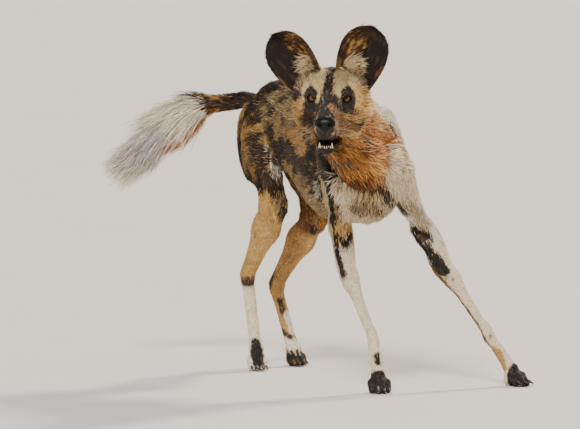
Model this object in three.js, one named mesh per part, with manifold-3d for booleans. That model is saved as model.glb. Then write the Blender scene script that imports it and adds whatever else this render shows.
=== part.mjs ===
// African wild dog, life size: braced on splayed forelegs, head turned to its right, tail swung out.
// Millimetres, +Z up. The body lies along Y and faces -Y, so the dog's left side is +X.
import * as THREE from "three";
import { mergeVertices } from "three/addons/utils/BufferGeometryUtils.js";
import Module from "manifold-3d";

const wasm = await Module();
wasm.setup();

// Driving dimensions
const gap = 0.4; // between touching pieces
const withersHeight = 630;
const rumpHeight = 634;
const chestFront = -290; // y of the breastbone's tip
const rumpRear = 352; // y of the seat
const chestMiddle = 8; // x of the midline at the chest
const hipMiddle = -18; // x of the midline at the hips, as the spine bends a little
const eyeSpread = 34; // half the distance between the eyeballs' centres
const eyeRadius = 11.5;
const earHeight = 134;
const earWidth = 106;
const plumeFrom = 0.36; // where along the tail the long hair starts
const plumeCoreEnd = 0.78;
const plumeDroop = 0.21; // how far the plume's locks fall below the line of the tail
const plumeLockCount = 31;
const ruffRows = 5;
const ruffLocksPerRow = 6;
const ruffLength = 60;

const at = (x, y, z) => new THREE.Vector3(x, y, z);
const mix = (a, b, t) => a + (b - a) * t;
const smooth = (t) => t * t * (3 - 2 * t);
const degrees = THREE.MathUtils.degToRad;

// Seeded random numbers, so that every build is the same.
function dice(seed) {
  let state = seed;
  return (low, high) => {
    state = (state * 1664525 + 1013904223) % 4294967296;
    return mix(low, high, state / 4294967296);
  };
}

// Fields: the distance from a point to a form, negative inside.

// An egg-shaped muscle with three radii.
function egg(centre, rx, ry, rz) {
  return (p) => {
    const x = p.x - centre.x;
    const y = p.y - centre.y;
    const z = p.z - centre.z;
    const k0 = Math.hypot(x / rx, y / ry, z / rz);
    const k1 = Math.hypot(x / (rx * rx), y / (ry * ry), z / (rz * rz));
    return k1 === 0 ? -Math.min(rx, ry, rz) : (k0 * (k0 - 1)) / k1;
  };
}

// A limb: a round bar that tapers from one ball to another, squeezed across x by a factor.
function limb(a, b, ra, rb, squeeze = 1) {
  const axis = b.clone().sub(a);
  axis.x /= squeeze;
  const length2 = axis.lengthSq();
  return (p) => {
    const x = (p.x - a.x) / squeeze;
    const y = p.y - a.y;
    const z = p.z - a.z;
    const t = THREE.MathUtils.clamp((x * axis.x + y * axis.y + z * axis.z) / length2, 0, 1);
    const reach = Math.hypot(x - axis.x * t, y - axis.y * t, z - axis.z * t);
    return (reach - mix(ra, rb, t)) * Math.min(1, squeeze);
  };
}

// Forms run together like flesh, over a blend of that width.
function fleshed(width, ...forms) {
  return (p) => {
    let d = forms[0](p);
    for (const form of forms.slice(1)) {
      const e = form(p);
      const h = Math.max(width - Math.abs(d - e), 0) / width;
      d = Math.min(d, e) - (h * h * width) / 4;
    }
    return d;
  };
}

// How far along a ray from inside the field its surface is.
function exitOf(field, from, along, reach) {
  const p = new THREE.Vector3();
  let inside = 0;
  let outside = 0;
  while (outside < reach) {
    const d = field(p.copy(from).addScaledVector(along, outside));
    if (d > 0) break;
    inside = outside;
    outside += Math.max(0.7, -0.85 * d);
  }
  if (outside >= reach) return reach;
  for (let i = 0; i < 12; i++) {
    const middle = (inside + outside) / 2;
    if (field(p.copy(from).addScaledVector(along, middle)) > 0) outside = middle;
    else inside = middle;
  }
  return Math.max(outside, 0.6);
}

// A closed mesh of rings of points, with a point at each end.
function ringed(first, rings, last) {
  const sides = rings[0].length;
  const points = [first, ...rings.flat(), last];
  const index = [];
  for (let j = 0; j < sides; j++) {
    const k = (j + 1) % sides;
    index.push(0, 1 + k, 1 + j);
    for (let i = 0; i + 1 < rings.length; i++) {
      const a = 1 + i * sides;
      const b = a + sides;
      index.push(a + j, a + k, b + k, a + j, b + k, b + j);
    }
    const end = 1 + (rings.length - 1) * sides;
    index.push(end + j, end + k, points.length - 1);
  }
  const geometry = new THREE.BufferGeometry().setFromPoints(points);
  return geometry.setIndex(index);
}

// Skin drawn over a field from a spine inside it. Rings lie across `normal`, or across the spine where
// that is left out. A round end is domed over the field, any other is cut flat.
function skin(form) {
  const { field, spine, rings, sides, normal, grow = 0 } = form;
  const { round = [false, false], domes = [0.4, 0.8, 1.2] } = form;
  const curve = new THREE.CatmullRomCurve3(spine);
  const reach = 400;
  const rows = [];
  const row = (t, tilt) => {
    const centre = curve.getPoint(t);
    const axis = (normal ?? curve.getTangent(t)).clone().normalize();
    const side = at(1, 0, 0).addScaledVector(axis, -axis.x).normalize();
    const up = axis.clone().cross(side);
    const ring = [];
    for (let j = 0; j < sides; j++) {
      const a = (2 * Math.PI * j) / sides;
      const ray = side.clone().multiplyScalar(Math.cos(a) * Math.cos(tilt));
      ray.addScaledVector(up, Math.sin(a) * Math.cos(tilt)).addScaledVector(axis, Math.sin(tilt));
      ring.push(centre.clone().addScaledVector(ray, exitOf(field, centre, ray, reach) + grow));
    }
    return ring;
  };
  const pole = (t, sign) => {
    const centre = curve.getPoint(t);
    const axis = (normal ?? curve.getTangent(t)).clone().normalize().multiplyScalar(sign);
    return centre.addScaledVector(axis, exitOf(field, centre, axis, reach) + grow);
  };
  if (round[0]) for (const tilt of [...domes].reverse()) rows.push(row(0, -tilt));
  for (let i = 0; i < rings; i++) rows.push(row(i / (rings - 1), 0));
  if (round[1]) for (const tilt of domes) rows.push(row(1, tilt));
  const first = round[0] ? pole(0, -1) : curve.getPoint(0);
  const last = round[1] ? pole(1, 1) : curve.getPoint(1);
  return ringed(first, rows, last);
}

// A three.js geometry as a manifold solid, and back.
function solid(geometry) {
  const bare = geometry.clone();
  bare.deleteAttribute("normal");
  bare.deleteAttribute("uv");
  const merged = mergeVertices(bare, 1e-4);
  const vertProperties = merged.attributes.position.array;
  const triVerts = new Uint32Array(merged.index.array);
  return new wasm.Manifold(new wasm.Mesh({ numProp: 3, vertProperties, triVerts }));
}

function largest(made) {
  return made.decompose().reduce((a, b) => (a.volume() > b.volume() ? a : b));
}

function geometryOf(made) {
  const mesh = largest(made).getMesh();
  const geometry = new THREE.BufferGeometry();
  geometry.setAttribute("position", new THREE.BufferAttribute(mesh.vertProperties, mesh.numProp));
  geometry.setIndex(new THREE.BufferAttribute(mesh.triVerts, 1));
  geometry.computeVertexNormals();
  return geometry;
}

const coat = (color) => new THREE.MeshStandardMaterial({ color, roughness: 0.85, metalness: 0 });
const materials = {
  brindle: coat("#6f5a40"),
  tan: coat("#b98f58"),
  cream: coat("#d9c7a5"),
  white: coat("#eee8dc"),
  rust: coat("#a0572c"),
  dark: coat("#2b2420"),
  ear: coat("#4a3424"),
  nose: new THREE.MeshStandardMaterial({ color: "#15161a", roughness: 0.35, metalness: 0 }),
  eye: new THREE.MeshStandardMaterial({ color: "#4a2a12", roughness: 0.08, metalness: 0 }),
  claw: new THREE.MeshStandardMaterial({ color: "#2a2622", roughness: 0.4, metalness: 0 }),
};

const dog = new THREE.Group();

function addNode(parent, name, made, material) {
  const mesh = new THREE.Mesh(geometryOf(made), materials[material]);
  mesh.name = name;
  parent.add(mesh);
  return mesh;
}

// Torso: rib cage, brisket, belly, loin and croup run together.
const midline = (y) => mix(chestMiddle, hipMiddle, smooth(THREE.MathUtils.clamp((y + 250) / 550, 0, 1)));
const onMidline = (y, z) => at(midline(y), y, z);
const torsoField = fleshed(
  46,
  egg(onMidline(-95, 478), 84, 190, 136),
  egg(onMidline(-215, 440), 64, 76, 84),
  limb(onMidline(-40, 440), onMidline(215, 505), 74, 48, 0.95),
  egg(onMidline(110, 545), 66, 170, 76),
  egg(onMidline(258, 552), 60, 88, 70),
  limb(onMidline(-170, withersHeight - 46), onMidline(40, rumpHeight - 54), 38, 40),
  limb(onMidline(40, rumpHeight - 54), onMidline(250, rumpHeight - 46), 40, 36),
  limb(onMidline(250, rumpHeight - 46), onMidline(320, rumpHeight - 64), 36, 22),
);
const torsoSkin = (grow) =>
  skin({
    field: torsoField,
    spine: [
      onMidline(chestFront + 75, 440),
      onMidline(-90, 490),
      onMidline(60, 515),
      onMidline(200, 545),
      onMidline(rumpRear - 78, 560),
    ],
    rings: 16,
    sides: 24,
    normal: at(0, 1, 0),
    round: [true, true],
    grow,
  });
const torsoOuter = solid(torsoSkin(gap));
addNode(dog, "torso", solid(torsoSkin(0)), "brindle");

// Legs. Each joint is a point; the skins are drawn in level rings, so that pieces part at level cuts.
const level = at(0, 0, 1);
const legs = {
  foreleg_left: {
    blade: at(70, -132, 568),
    shoulder: at(71, -222, 456),
    elbow: at(146, -178, 334),
    wrist: at(268, -246, 112),
    ball: at(317, -262, 34),
    turn: 26,
  },
  foreleg_right: {
    blade: at(-50, -132, 558),
    shoulder: at(-58, -230, 450),
    elbow: at(-46, -186, 342),
    wrist: at(-8, -276, 112),
    ball: at(-5, -298, 34),
    turn: -14,
  },
  hindleg_left: {
    hip: at(23, 264, 545),
    knee: at(51, 212, 338),
    hock: at(25, 390, 178),
    ball: at(51, 346, 34),
    turn: 4,
    calf: at(2, 8, 2),
  },
  hindleg_right: {
    hip: at(-64, 260, 545),
    knee: at(-54, 190, 366),
    hock: at(-64, 332, 206),
    ball: at(-65, 272, 44),
    turn: -10,
    calf: at(4, 2, 2),
  },
};

// A piece of a leg between two heights, along its own line of points.
function legPiece({ field, line, top, bottom, rings, sides, roundTop = false, grow = 0 }) {
  const path = new THREE.CatmullRomCurve3(line, false, "catmullrom", 0.2);
  const samples = path.getPoints(200);
  const atHeight = (z) => samples.reduce((a, b) => (Math.abs(b.z - z) < Math.abs(a.z - z) ? b : a));
  const spine = [];
  for (let i = 0; i < 9; i++) {
    const z = mix(bottom, top, i / 8);
    const near = atHeight(z);
    spine.push(at(near.x, near.y, z));
  }
  return skin({
    field, spine, rings, sides, grow,
    normal: level, round: [false, roundTop], domes: [0.5, 1.05],
  });
}

const shoulderOuters = [];

function buildForeleg(name) {
  const leg = legs[name];
  const out = Math.sign(leg.blade.x);
  const lean = leg.elbow.clone().lerp(leg.wrist, 0.48).add(at(out > 0 ? -3 : -13, 0, 0));
  const upper = fleshed(
    30,
    limb(leg.blade, leg.shoulder, 33, 34, 0.8),
    limb(leg.shoulder, leg.elbow, 34, 21, 0.85),
    egg(leg.shoulder.clone().lerp(leg.elbow, 0.32).add(at(out, 41, 18)), 21, 40, 60),
    egg(leg.blade.clone().lerp(leg.shoulder, 0.5).add(at(out * 4, 30, -8)), 22, 48, 56),
    limb(leg.elbow, lean, 20.5, 14.5),
    egg(leg.elbow.clone().lerp(lean, 0.5).add(at(out - 4, 0, 0)), 16, 19, 44),
    egg(leg.elbow.clone().add(at(0, 16, 4)), 10, 13, 20),
    limb(lean, leg.wrist, 14, 10),
  );
  const lower = fleshed(
    9,
    limb(lean, leg.wrist, 14, 10),
    egg(leg.wrist, 17, 16, 24),
    egg(leg.wrist.clone().add(at(0, 15, -4)), 8, 8, 9),
    limb(leg.wrist, leg.ball, 13, 15),
  );
  const line = [leg.blade, leg.shoulder.clone().add(at(0, 26, 0)), leg.elbow, leg.wrist, leg.ball];
  const elbowCut = leg.elbow.z - 4;
  const wristCut = leg.wrist.z + 34;
  const ballCut = leg.ball.z + 12;
  const field = fleshed(6, upper, lower);
  const shoulderShape = { field, line, top: leg.blade.z - 14, rings: 12, sides: 16, roundTop: true };
  const shoulder = legPiece({ ...shoulderShape, bottom: elbowCut + gap });
  const forearm = legPiece({ field, line, top: elbowCut, bottom: wristCut + gap, rings: 9, sides: 12 });
  const wrist = legPiece({ field, line, top: wristCut, bottom: ballCut + gap, rings: 7, sides: 12 });
  shoulderOuters.push(solid(legPiece({ ...shoulderShape, bottom: elbowCut, grow: gap })));
  const clear = solid(shoulder).subtract(torsoOuter).subtract(neckOuter);
  addNode(dog, name.replace("foreleg", "shoulder"), clear, "cream");
  addNode(dog, name.replace("foreleg", "forearm"), solid(forearm), "cream");
  addNode(dog, name.replace("foreleg", "wrist"), solid(wrist), "white");
  buildPaw(name.replace("foreleg", "forepaw"), leg, lower, ballCut, 1);
}

function buildHindleg(name) {
  const leg = legs[name];
  const turn = degrees(leg.turn);
  const out = Math.sign(leg.ball.x);
  const calf = leg.knee.clone().lerp(leg.hock, 0.34).add(leg.calf);
  const upper = fleshed(
    34,
    egg(leg.hip.clone().add(at(-out, 6, -22)), 38, 74, 80),
    egg(leg.hip.clone().add(at(-out * 6, -40, -74)), 24, 54, 74),
    limb(leg.hip, leg.knee, 38, 28, 0.9),
    egg(leg.hip.clone().lerp(leg.knee, 0.38).add(at(out * 6, 47, 0)), 28, 45, 72),
    limb(leg.knee, calf, 28, 28, 0.95),
    limb(calf, leg.hock, 28, 15),
  );
  const lower = fleshed(
    9,
    limb(calf, leg.hock, 28, 15),
    egg(leg.hock.clone().add(at(Math.sin(turn) * 18, -Math.cos(turn) * 18, 2)), 15, 21, 28),
    limb(leg.hock.clone().add(at(0, 16, 16)), leg.hock.clone().add(at(0, 4, -20)), 9, 13),
    limb(calf.clone().add(at(0, 30, 0)), leg.hock.clone().add(at(0, 18, 10)), 10, 7),
    limb(leg.hock, leg.ball, 15, 14.5),
    egg(leg.ball.clone().add(at(0, 0, 4)), 17, 16, 16),
  );
  const line = [leg.hip.clone().add(at(0, 14, 0)), leg.knee.clone().add(at(0, 34, 0)), leg.hock, leg.ball];
  const kneeCut = leg.knee.z - 30;
  const hockCut = leg.hock.z + 26;
  const ballCut = leg.ball.z + 10;
  const field = fleshed(6, upper, lower);
  const thighShape = { field, line, top: leg.hip.z + 6, rings: 11, sides: 15, roundTop: true };
  const thigh = legPiece({ ...thighShape, bottom: kneeCut + gap });
  const shank = legPiece({ field, line, top: kneeCut, bottom: hockCut + gap, rings: 9, sides: 12 });
  const hock = legPiece({ field, line, top: hockCut, bottom: ballCut + gap, rings: 9, sides: 12 });
  addNode(dog, name.replace("hindleg", "thigh"), solid(thigh).subtract(torsoOuter), "brindle");
  addNode(dog, name.replace("hindleg", "shank"), solid(shank), "tan");
  addNode(dog, name.replace("hindleg", "hock"), solid(hock), "white");
  buildPaw(name.replace("hindleg", "hindpaw"), leg, lower, ballCut, 0.93);
}

// Paws: a foot block with four toes and a claw on each, cut level where it stands.
const floorBlock = solid(new THREE.BoxGeometry(2000, 2400, 100).translate(0, 0, -50));
const toes = [
  { across: -16, reach: 26 },
  { across: -6, reach: 38 },
  { across: 6, reach: 38 },
  { across: 16, reach: 26 },
];

function buildPaw(name, leg, above, top, size) {
  const turn = degrees(leg.turn);
  const local = (x, y, z) =>
    at(leg.ball.x + size * (x * Math.cos(turn) - y * Math.sin(turn)),
       leg.ball.y + size * (x * Math.sin(turn) + y * Math.cos(turn)), z);
  const heel = limb(local(-5, 4, 12), local(5, 4, 12), 14 * size, 14 * size);
  const block = fleshed(10, above, heel, limb(local(0, 0, leg.ball.z), local(0, -14, 18), 15, 12));
  const made = (grow) => {
    const base = skin({
      field: block,
      spine: [local(0, 2, 8), local(0, 0, leg.ball.z * 0.7), at(leg.ball.x, leg.ball.y, top)],
      rings: 4, sides: 11, normal: level, round: [true, false], domes: [0.8], grow,
    });
    let paw = solid(base);
    for (const toe of toes) {
      const root = local(toe.across * 0.7, -4, leg.ball.z * 0.75);
      const knuckle = local(toe.across * 1.05, -toe.reach * 0.55, 22 * size);
      const tip = local(toe.across * 1.1, -toe.reach, 7.4);
      const upper = limb(root, knuckle, 9, 9.6 * size);
      const lower = limb(knuckle, tip, 9.6 * size, 8.2 * size);
      const field = fleshed(5, upper, lower);
      const spine = [root, knuckle, tip];
      const digit = skin({ field, spine, rings: 3, sides: 7, round: [false, true], domes: [0.8], grow });
      paw = paw.add(solid(digit));
    }
    return paw.subtract(floorBlock);
  };
  addNode(dog, name, made(0), "dark");
  const outer = made(gap);
  toes.forEach((toe, i) => {
    const root = local(toe.across * 1.1, -toe.reach - 1, 10.5);
    const bend = local(toe.across * 1.14, -toe.reach - 12, 10);
    const point = local(toe.across * 1.16, -toe.reach - 20, 3.2);
    const claw = tapered([root, bend, point], [3.6, 2.9, 0.8], 3.4, 4, 3);
    addNode(dog, `claw_${name}_${i + 1}`, solid(claw).subtract(outer), "claw");
  });
}

// A bar along a curve through points, with a radius at each and flat or round in section.
function tapered(points, radii, thick, sides, rings, wide = at(1, 0, 0)) {
  const curve = new THREE.CatmullRomCurve3(points);
  const rows = [];
  for (let i = 0; i < rings; i++) {
    const t = i / rings;
    const axis = curve.getTangent(t);
    const side = wide.clone().addScaledVector(axis, -axis.dot(wide)).normalize();
    const up = axis.clone().cross(side);
    const k = t * (radii.length - 1);
    const r = mix(radii[Math.floor(k)], radii[Math.floor(k) + 1], k % 1);
    const flat = (thick * r) / radii[0];
    const ring = [];
    for (let j = 0; j < sides; j++) {
      const a = (2 * Math.PI * j) / sides;
      const p = curve.getPoint(t).addScaledVector(side, r * Math.cos(a));
      ring.push(p.addScaledVector(up, flat * Math.sin(a)));
    }
    rows.push(ring);
  }
  return ringed(points[0], rows, points[points.length - 1]);
}

// A flat, tapered lock of hair: it leaves the skin along the lie of the coat, lifts and bends over.
function lock({ root, lie, out, length, width, lift, sway }) {
  const side = lie.clone().cross(out).normalize();
  const point = (t, up) => {
    const p = root.clone().addScaledVector(lie, length * t);
    return p.addScaledVector(out, up).addScaledVector(side, sway * t * t);
  };
  const points = [
    point(-0.1, -0.4 * width),
    point(0.35, lift * 0.6),
    point(0.7, lift),
    point(1, lift * 0.7),
  ];
  return solid(tapered(points, [0.6 * width, width, 0.8 * width, 0.8], 0.34 * width, 3, 4, side));
}

// Head, in its own frame: midway between the eyes, nose to -Y.
const headGroup = new THREE.Group();
headGroup.position.set(-160, -411, 628);
headGroup.rotation.set(degrees(4), degrees(1), degrees(-26.5), "ZXY");
dog.add(headGroup);

const both = (make) => [make(1), make(-1)];
const headField = fleshed(
  16,
  egg(at(0, 50, 10), 56, 60, 52),
  egg(at(0, 12, 18), 45, 38, 36),
  egg(at(0, 26, -60), 46, 56, 34),
  limb(at(0, -2, -26), at(0, -78, -52), 33, 23.5),
  limb(at(0, 0, -2), at(0, -84, -38), 17, 12),
  ...both((s) => egg(at(s * 52, 32, -20), 30, 44, 38)),
  ...both((s) => egg(at(s * 38, 34, -54), 27, 40, 32)),
  ...both((s) => egg(at(s * 53, 42, 18), 23, 28, 32)),
  ...both((s) => limb(at(s * 24, -16, -60), at(s * 15, -76, -66), 13, 11)),
  ...both((s) => egg(at(s * 26, -3, 12), 15, 13, 9)),
  ...both((s) => egg(at(s * eyeSpread, 4, 0), 12.5, 12.5, 12.5)),
);
const headSkin = (grow) =>
  skin({
    field: headField,
    spine: [at(0, 56, -4), at(0, 20, -14), at(0, -30, -34), at(0, -80, -50)],
    rings: 17, sides: 24, normal: at(0, -1, 0), round: [true, true], domes: [0.5, 1.05], grow,
  });
const ball = (radius, x, y, z, size = at(1, 1, 1), sides = 14) => {
  const round = new THREE.SphereGeometry(radius, sides, sides / 2 + 1);
  return solid(round.scale(size.x, size.y, size.z).translate(x, y, z));
};
const headOuter = solid(headSkin(gap));
let headMade = solid(headSkin(0));

function buildEye(side) {
  const x = side * eyeSpread;
  const y = 4;
  const gaze = side * 3;
  headMade = headMade.add(ball(eyeRadius + 2.4, x, y, 0));
  headMade = headMade.subtract(ball(eyeRadius + gap, x, y, 0));
  headMade = headMade.subtract(ball(10, x + gaze, y - 14, 0, at(1, 1, 0.62)));
  addNode(headGroup, side > 0 ? "eye_left" : "eye_right", ball(eyeRadius, x, y, 0), "eye");
}
both(buildEye);

const noseField = fleshed(6, egg(at(0, -96, -42), 20.5, 12, 12.5), egg(at(0, -94, -50), 12, 11, 11));
const noseSkin = (grow) =>
  skin({
    field: noseField, spine: [at(0, -94, -45), at(0, -98, -45)],
    rings: 3, sides: 16, normal: at(0, -1, 0), round: [true, true], domes: [0.5, 1], grow,
  });
headMade = headMade.subtract(solid(noseSkin(gap)));
let nosePad = solid(noseSkin(0));
for (const side of [1, -1]) nosePad = nosePad.subtract(ball(5.2, side * 10, -107, -44, at(1, 1.4, 0.8), 8));
addNode(headGroup, "nose", nosePad, "nose");

// Lower jaw, dropped a little, with its front teeth.
const jawField = fleshed(
  10,
  limb(at(0, -68, -97), at(0, 0, -92), 13, 22),
  ...both((s) => limb(at(s * 8, -70, -94), at(s * 20, -6, -84), 8, 13)),
);
const mouthFloor = -91; // z of the lower lip at the front
const aboveJaw = new THREE.BoxGeometry(160, 200, 60).translate(0, 0, 30).rotateX(0.1);
const mouthLine = aboveJaw.translate(0, -75, mouthFloor);
const jawSkin = (grow) =>
  skin({
    field: jawField, spine: [at(0, 10, -91), at(0, -68, -95)],
    rings: 7, sides: 14, normal: at(0, -1, 0), round: [false, true], domes: [0.5, 1], grow,
  });
let jaw = solid(jawSkin(0)).subtract(solid(mouthLine));
const tooth = (x, y, radius, height) => {
  const cone = new THREE.ConeGeometry(radius, height + 5, 6).rotateX(Math.PI / 2);
  return solid(cone.translate(x, y, mouthFloor + height / 2 - 1));
};
for (const side of [1, -1]) {
  jaw = jaw.add(tooth(side * 13, -73, 3.2, 11));
  for (const x of [2.2, 6]) jaw = jaw.add(tooth(side * x, -79 + x * 0.3, 2, 4));
}
addNode(headGroup, "lower_jaw", jaw.subtract(headOuter), "dark");

// Ears: a cup that opens from a rolled base to a broad round rim.
function earCup() {
  const rows = 9;
  const columns = 11;
  const widest = 0.54;
  const outer = [];
  const inner = [];
  for (let i = 0; i < rows; i++) {
    const h = 1 - Math.pow(1 - i / (rows - 1), 1.35);
    const low = mix(0.66, 1, Math.sin((Math.PI / 2) * Math.min(1, h / widest)));
    const high = Math.sqrt(Math.max(0.008, 1 - Math.pow(Math.max(0, h - widest) / (1 - widest), 2.3)));
    const half = (earWidth / 2) * low * high;
    const curl = degrees(mix(205, 96, Math.sqrt(h)));
    const radius = curl < Math.PI ? half / Math.sin(curl / 2) : half;
    const thick = mix(4.5, 2.6, h);
    for (const [grid, r] of [[outer, radius], [inner, radius - thick]]) {
      const line = [];
      for (let j = 0; j < columns; j++) {
        const a = mix(-curl / 2, curl / 2, j / (columns - 1));
        line.push(at(r * Math.sin(a), r * Math.cos(a) - radius * Math.cos(curl / 2), h * earHeight));
      }
      grid.push(line);
    }
  }
  return shell(outer, inner);
}

// A closed wall between an outer and an inner grid of points.
function shell(outer, inner) {
  const rows = outer.length;
  const columns = outer[0].length;
  const points = [...outer.flat(), ...inner.flat()];
  const far = rows * columns;
  const index = [];
  const quad = (a, b, c, d) => index.push(a, b, c, a, c, d);
  for (let i = 0; i + 1 < rows; i++) {
    for (let j = 0; j + 1 < columns; j++) {
      const a = i * columns + j;
      quad(a, a + columns, a + columns + 1, a + 1);
      quad(far + a, far + a + 1, far + a + columns + 1, far + a + columns);
    }
    const a = i * columns;
    const b = a + columns - 1;
    quad(a, far + a, far + a + columns, a + columns);
    quad(b, b + columns, far + b + columns, far + b);
  }
  for (let j = 0; j + 1 < columns; j++) {
    const top = (rows - 1) * columns + j;
    quad(j, j + 1, far + j + 1, far + j);
    quad(top, far + top, far + top + 1, top + 1);
  }
  const geometry = new THREE.BufferGeometry().setFromPoints(points);
  return geometry.setIndex(index);
}

function buildEar(side) {
  const group = new THREE.Group();
  group.position.set(side * 43, 32, 20);
  group.rotation.set(-0.16, side * (side > 0 ? 0.31 : 0.66), side * (side > 0 ? 0.1 : 0.3), "YXZ");
  group.updateMatrix();
  const toEar = group.matrix.clone().invert();
  const headThere = solid(headSkin(gap).applyMatrix4(toEar));
  addNode(group, side > 0 ? "ear_left" : "ear_right", solid(earCup()).subtract(headThere), "ear");
  headGroup.add(group);
}
both(buildEar);

addNode(headGroup, "head", headMade, "cream");

// Neck: from the chest up to the back of the head.
dog.updateMatrixWorld(true);
const headThere = solid(headSkin(gap).applyMatrix4(headGroup.matrixWorld));
const jawThere = solid(jawSkin(gap).applyMatrix4(headGroup.matrixWorld));
const onHead = (x, y, z) => at(x, y, z).applyMatrix4(headGroup.matrixWorld);
const nape = onHead(0, 50, -16);
const neckRoot = onMidline(-165, 506);
const neckField = fleshed(
  34,
  limb(neckRoot, nape, 82, 55),
  limb(onMidline(-130, withersHeight - 50), onHead(0, 62, 6), 38, 44),
  limb(onMidline(-232, 462), onHead(0, 44, -62), 58, 38),
);
const neckSkin = (grow) =>
  skin({
    field: neckField,
    spine: [neckRoot, neckRoot.clone().lerp(nape, 0.5), nape],
    rings: 8, sides: 20, round: [false, true], domes: [0.5, 1.05], grow,
  });
const neckOuter = solid(neckSkin(gap));
for (const name of ["foreleg_left", "foreleg_right"]) buildForeleg(name);
for (const name of ["hindleg_left", "hindleg_right"]) buildHindleg(name);

// The ruff: rows of locks on the throat and the sides of the neck, lying towards the chest.
function ruffLocks() {
  const draw = dice(7);
  const axis = neckRoot.clone().sub(nape).normalize();
  const side = at(1, 0, 0).addScaledVector(axis, -axis.x).normalize();
  const down = axis.clone().cross(side);
  if (down.z > 0) down.negate();
  const made = [];
  for (let row = 0; row < ruffRows; row++) {
    for (let i = 0; i < ruffLocksPerRow; i++) {
      const t = mix(0.1, 0.62, (row + draw(-0.2, 0.2)) / (ruffRows - 1));
      const a = degrees(mix(-88, 88, (i + 0.5 * (row % 2) + draw(-0.2, 0.2)) / (ruffLocksPerRow - 0.5)));
      const centre = nape.clone().lerp(neckRoot, t);
      const out = down.clone().multiplyScalar(Math.cos(a)).addScaledVector(side, Math.sin(a));
      const root = centre.clone().addScaledVector(out, exitOf(neckField, centre, out, 300) - 1.5);
      const lie = axis.clone().addScaledVector(at(0, 0, -1), 0.35).normalize();
      lie.addScaledVector(out, -lie.dot(out)).normalize();
      made.push(
        lock({
          root, lie, out,
          length: ruffLength * draw(0.8, 1.15),
          width: draw(10, 13),
          lift: draw(7, 13),
          sway: draw(-9, 9),
        }),
      );
    }
  }
  return made;
}
const ruff = wasm.Manifold.union(ruffLocks()).subtract(wasm.Manifold.union(shoulderOuters));
const neck = solid(neckSkin(0)).add(ruff).subtract(torsoOuter).subtract(headThere).subtract(jawThere);
addNode(dog, "neck", neck, "rust");

// Tail: a tapering core swung out to the right, bare at the root and plumed beyond.
const tailLine = new THREE.CatmullRomCurve3([
  at(-22, 326, 584), at(-48, 386, 590), at(-110, 448, 578),
  at(-182, 504, 534), at(-240, 552, 466), at(-291, 598, 388),
]);
const tailPiece = (from, to, radii, flat) => {
  const points = [];
  for (let i = 0; i <= 8; i++) points.push(tailLine.getPoint(mix(from, to, i / 8)));
  return solid(tapered(points, radii, flat, 10, 9, at(0, 0, 1)));
};
const rootRadii = [17, 12, 10, 10, 10];
const rootOuterRadii = rootRadii.map((radius) => radius + gap);
const tailRoot = tailPiece(0.03, plumeFrom - 0.002, rootRadii, rootRadii[0]);
const rootOuter = tailPiece(0.03, plumeFrom - 0.001, rootOuterRadii, rootOuterRadii[0]);
addNode(dog, "tail_root", tailRoot.subtract(torsoOuter), "dark");

// The plume: locks all round a thin core, longest and most spread in its middle, sagging a little.
function plumeLocks() {
  const draw = dice(11);
  const made = [];
  for (let i = 0; i < plumeLockCount; i++) {
    const k = i / (plumeLockCount - 1);
    const t = mix(plumeFrom + 0.012, plumeCoreEnd, Math.pow(k, 1.1));
    const axis = tailLine.getTangent(t);
    const sideways = at(0, 0, 1).cross(axis).normalize();
    const up = axis.clone().cross(sideways);
    const a = i * 2.4 + draw(-0.3, 0.3);
    const out = sideways.multiplyScalar(Math.cos(a)).addScaledVector(up, Math.sin(a));
    const above = Math.max(0, out.z);
    const spread = degrees(mix(34, 15, Math.min(1, k * 1.3)) * mix(1, 0.55, above) * draw(0.85, 1.15));
    const lie = axis.clone().multiplyScalar(Math.cos(spread)).addScaledVector(out, Math.sin(spread));
    lie.z -= plumeDroop * mix(0.6, 1.2, k);
    lie.normalize();
    const face = out.clone().addScaledVector(lie, -out.dot(lie)).normalize();
    made.push(
      lock({
        root: tailLine.getPoint(t).addScaledVector(out, 2),
        lie, out: face,
        length: mix(108, 136, Math.sin(Math.PI * k)) * draw(0.85, 1.1),
        width: draw(10, 14),
        lift: draw(-8, 1),
        sway: draw(-10, 10),
      }),
    );
  }
  return made;
}
const plumeCore = tailPiece(plumeFrom, plumeCoreEnd + 0.03, [11, 12, 11, 9, 6, 3], 11);
addNode(dog, "tail_plume", plumeCore.add(wasm.Manifold.union(plumeLocks())).subtract(rootOuter), "white");

// The origin goes under the middle of the model's box.
const box = new THREE.Box3().setFromObject(dog, true);
for (const child of dog.children) {
  child.position.x -= (box.min.x + box.max.x) / 2;
  child.position.y -= (box.min.y + box.max.y) / 2;
  child.position.z -= box.min.z;
}

export default dog;
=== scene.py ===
import math

import bmesh
import bpy
import numpy as np
from mathutils import Matrix, Vector


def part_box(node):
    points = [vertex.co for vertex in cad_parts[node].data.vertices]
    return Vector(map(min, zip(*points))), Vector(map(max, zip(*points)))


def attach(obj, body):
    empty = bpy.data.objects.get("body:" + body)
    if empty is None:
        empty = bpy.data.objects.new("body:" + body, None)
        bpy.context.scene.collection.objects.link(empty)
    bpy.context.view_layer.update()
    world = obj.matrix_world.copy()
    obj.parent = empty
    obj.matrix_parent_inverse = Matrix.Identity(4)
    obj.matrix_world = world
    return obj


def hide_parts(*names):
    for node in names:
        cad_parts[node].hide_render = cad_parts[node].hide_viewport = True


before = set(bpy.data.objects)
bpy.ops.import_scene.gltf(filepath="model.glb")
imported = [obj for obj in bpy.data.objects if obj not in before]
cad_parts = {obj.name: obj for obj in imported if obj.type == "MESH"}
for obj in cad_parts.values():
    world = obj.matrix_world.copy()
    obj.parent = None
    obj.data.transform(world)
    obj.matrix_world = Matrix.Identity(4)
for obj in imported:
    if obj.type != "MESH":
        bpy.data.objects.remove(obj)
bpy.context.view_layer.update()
print("frame loaded")

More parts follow.
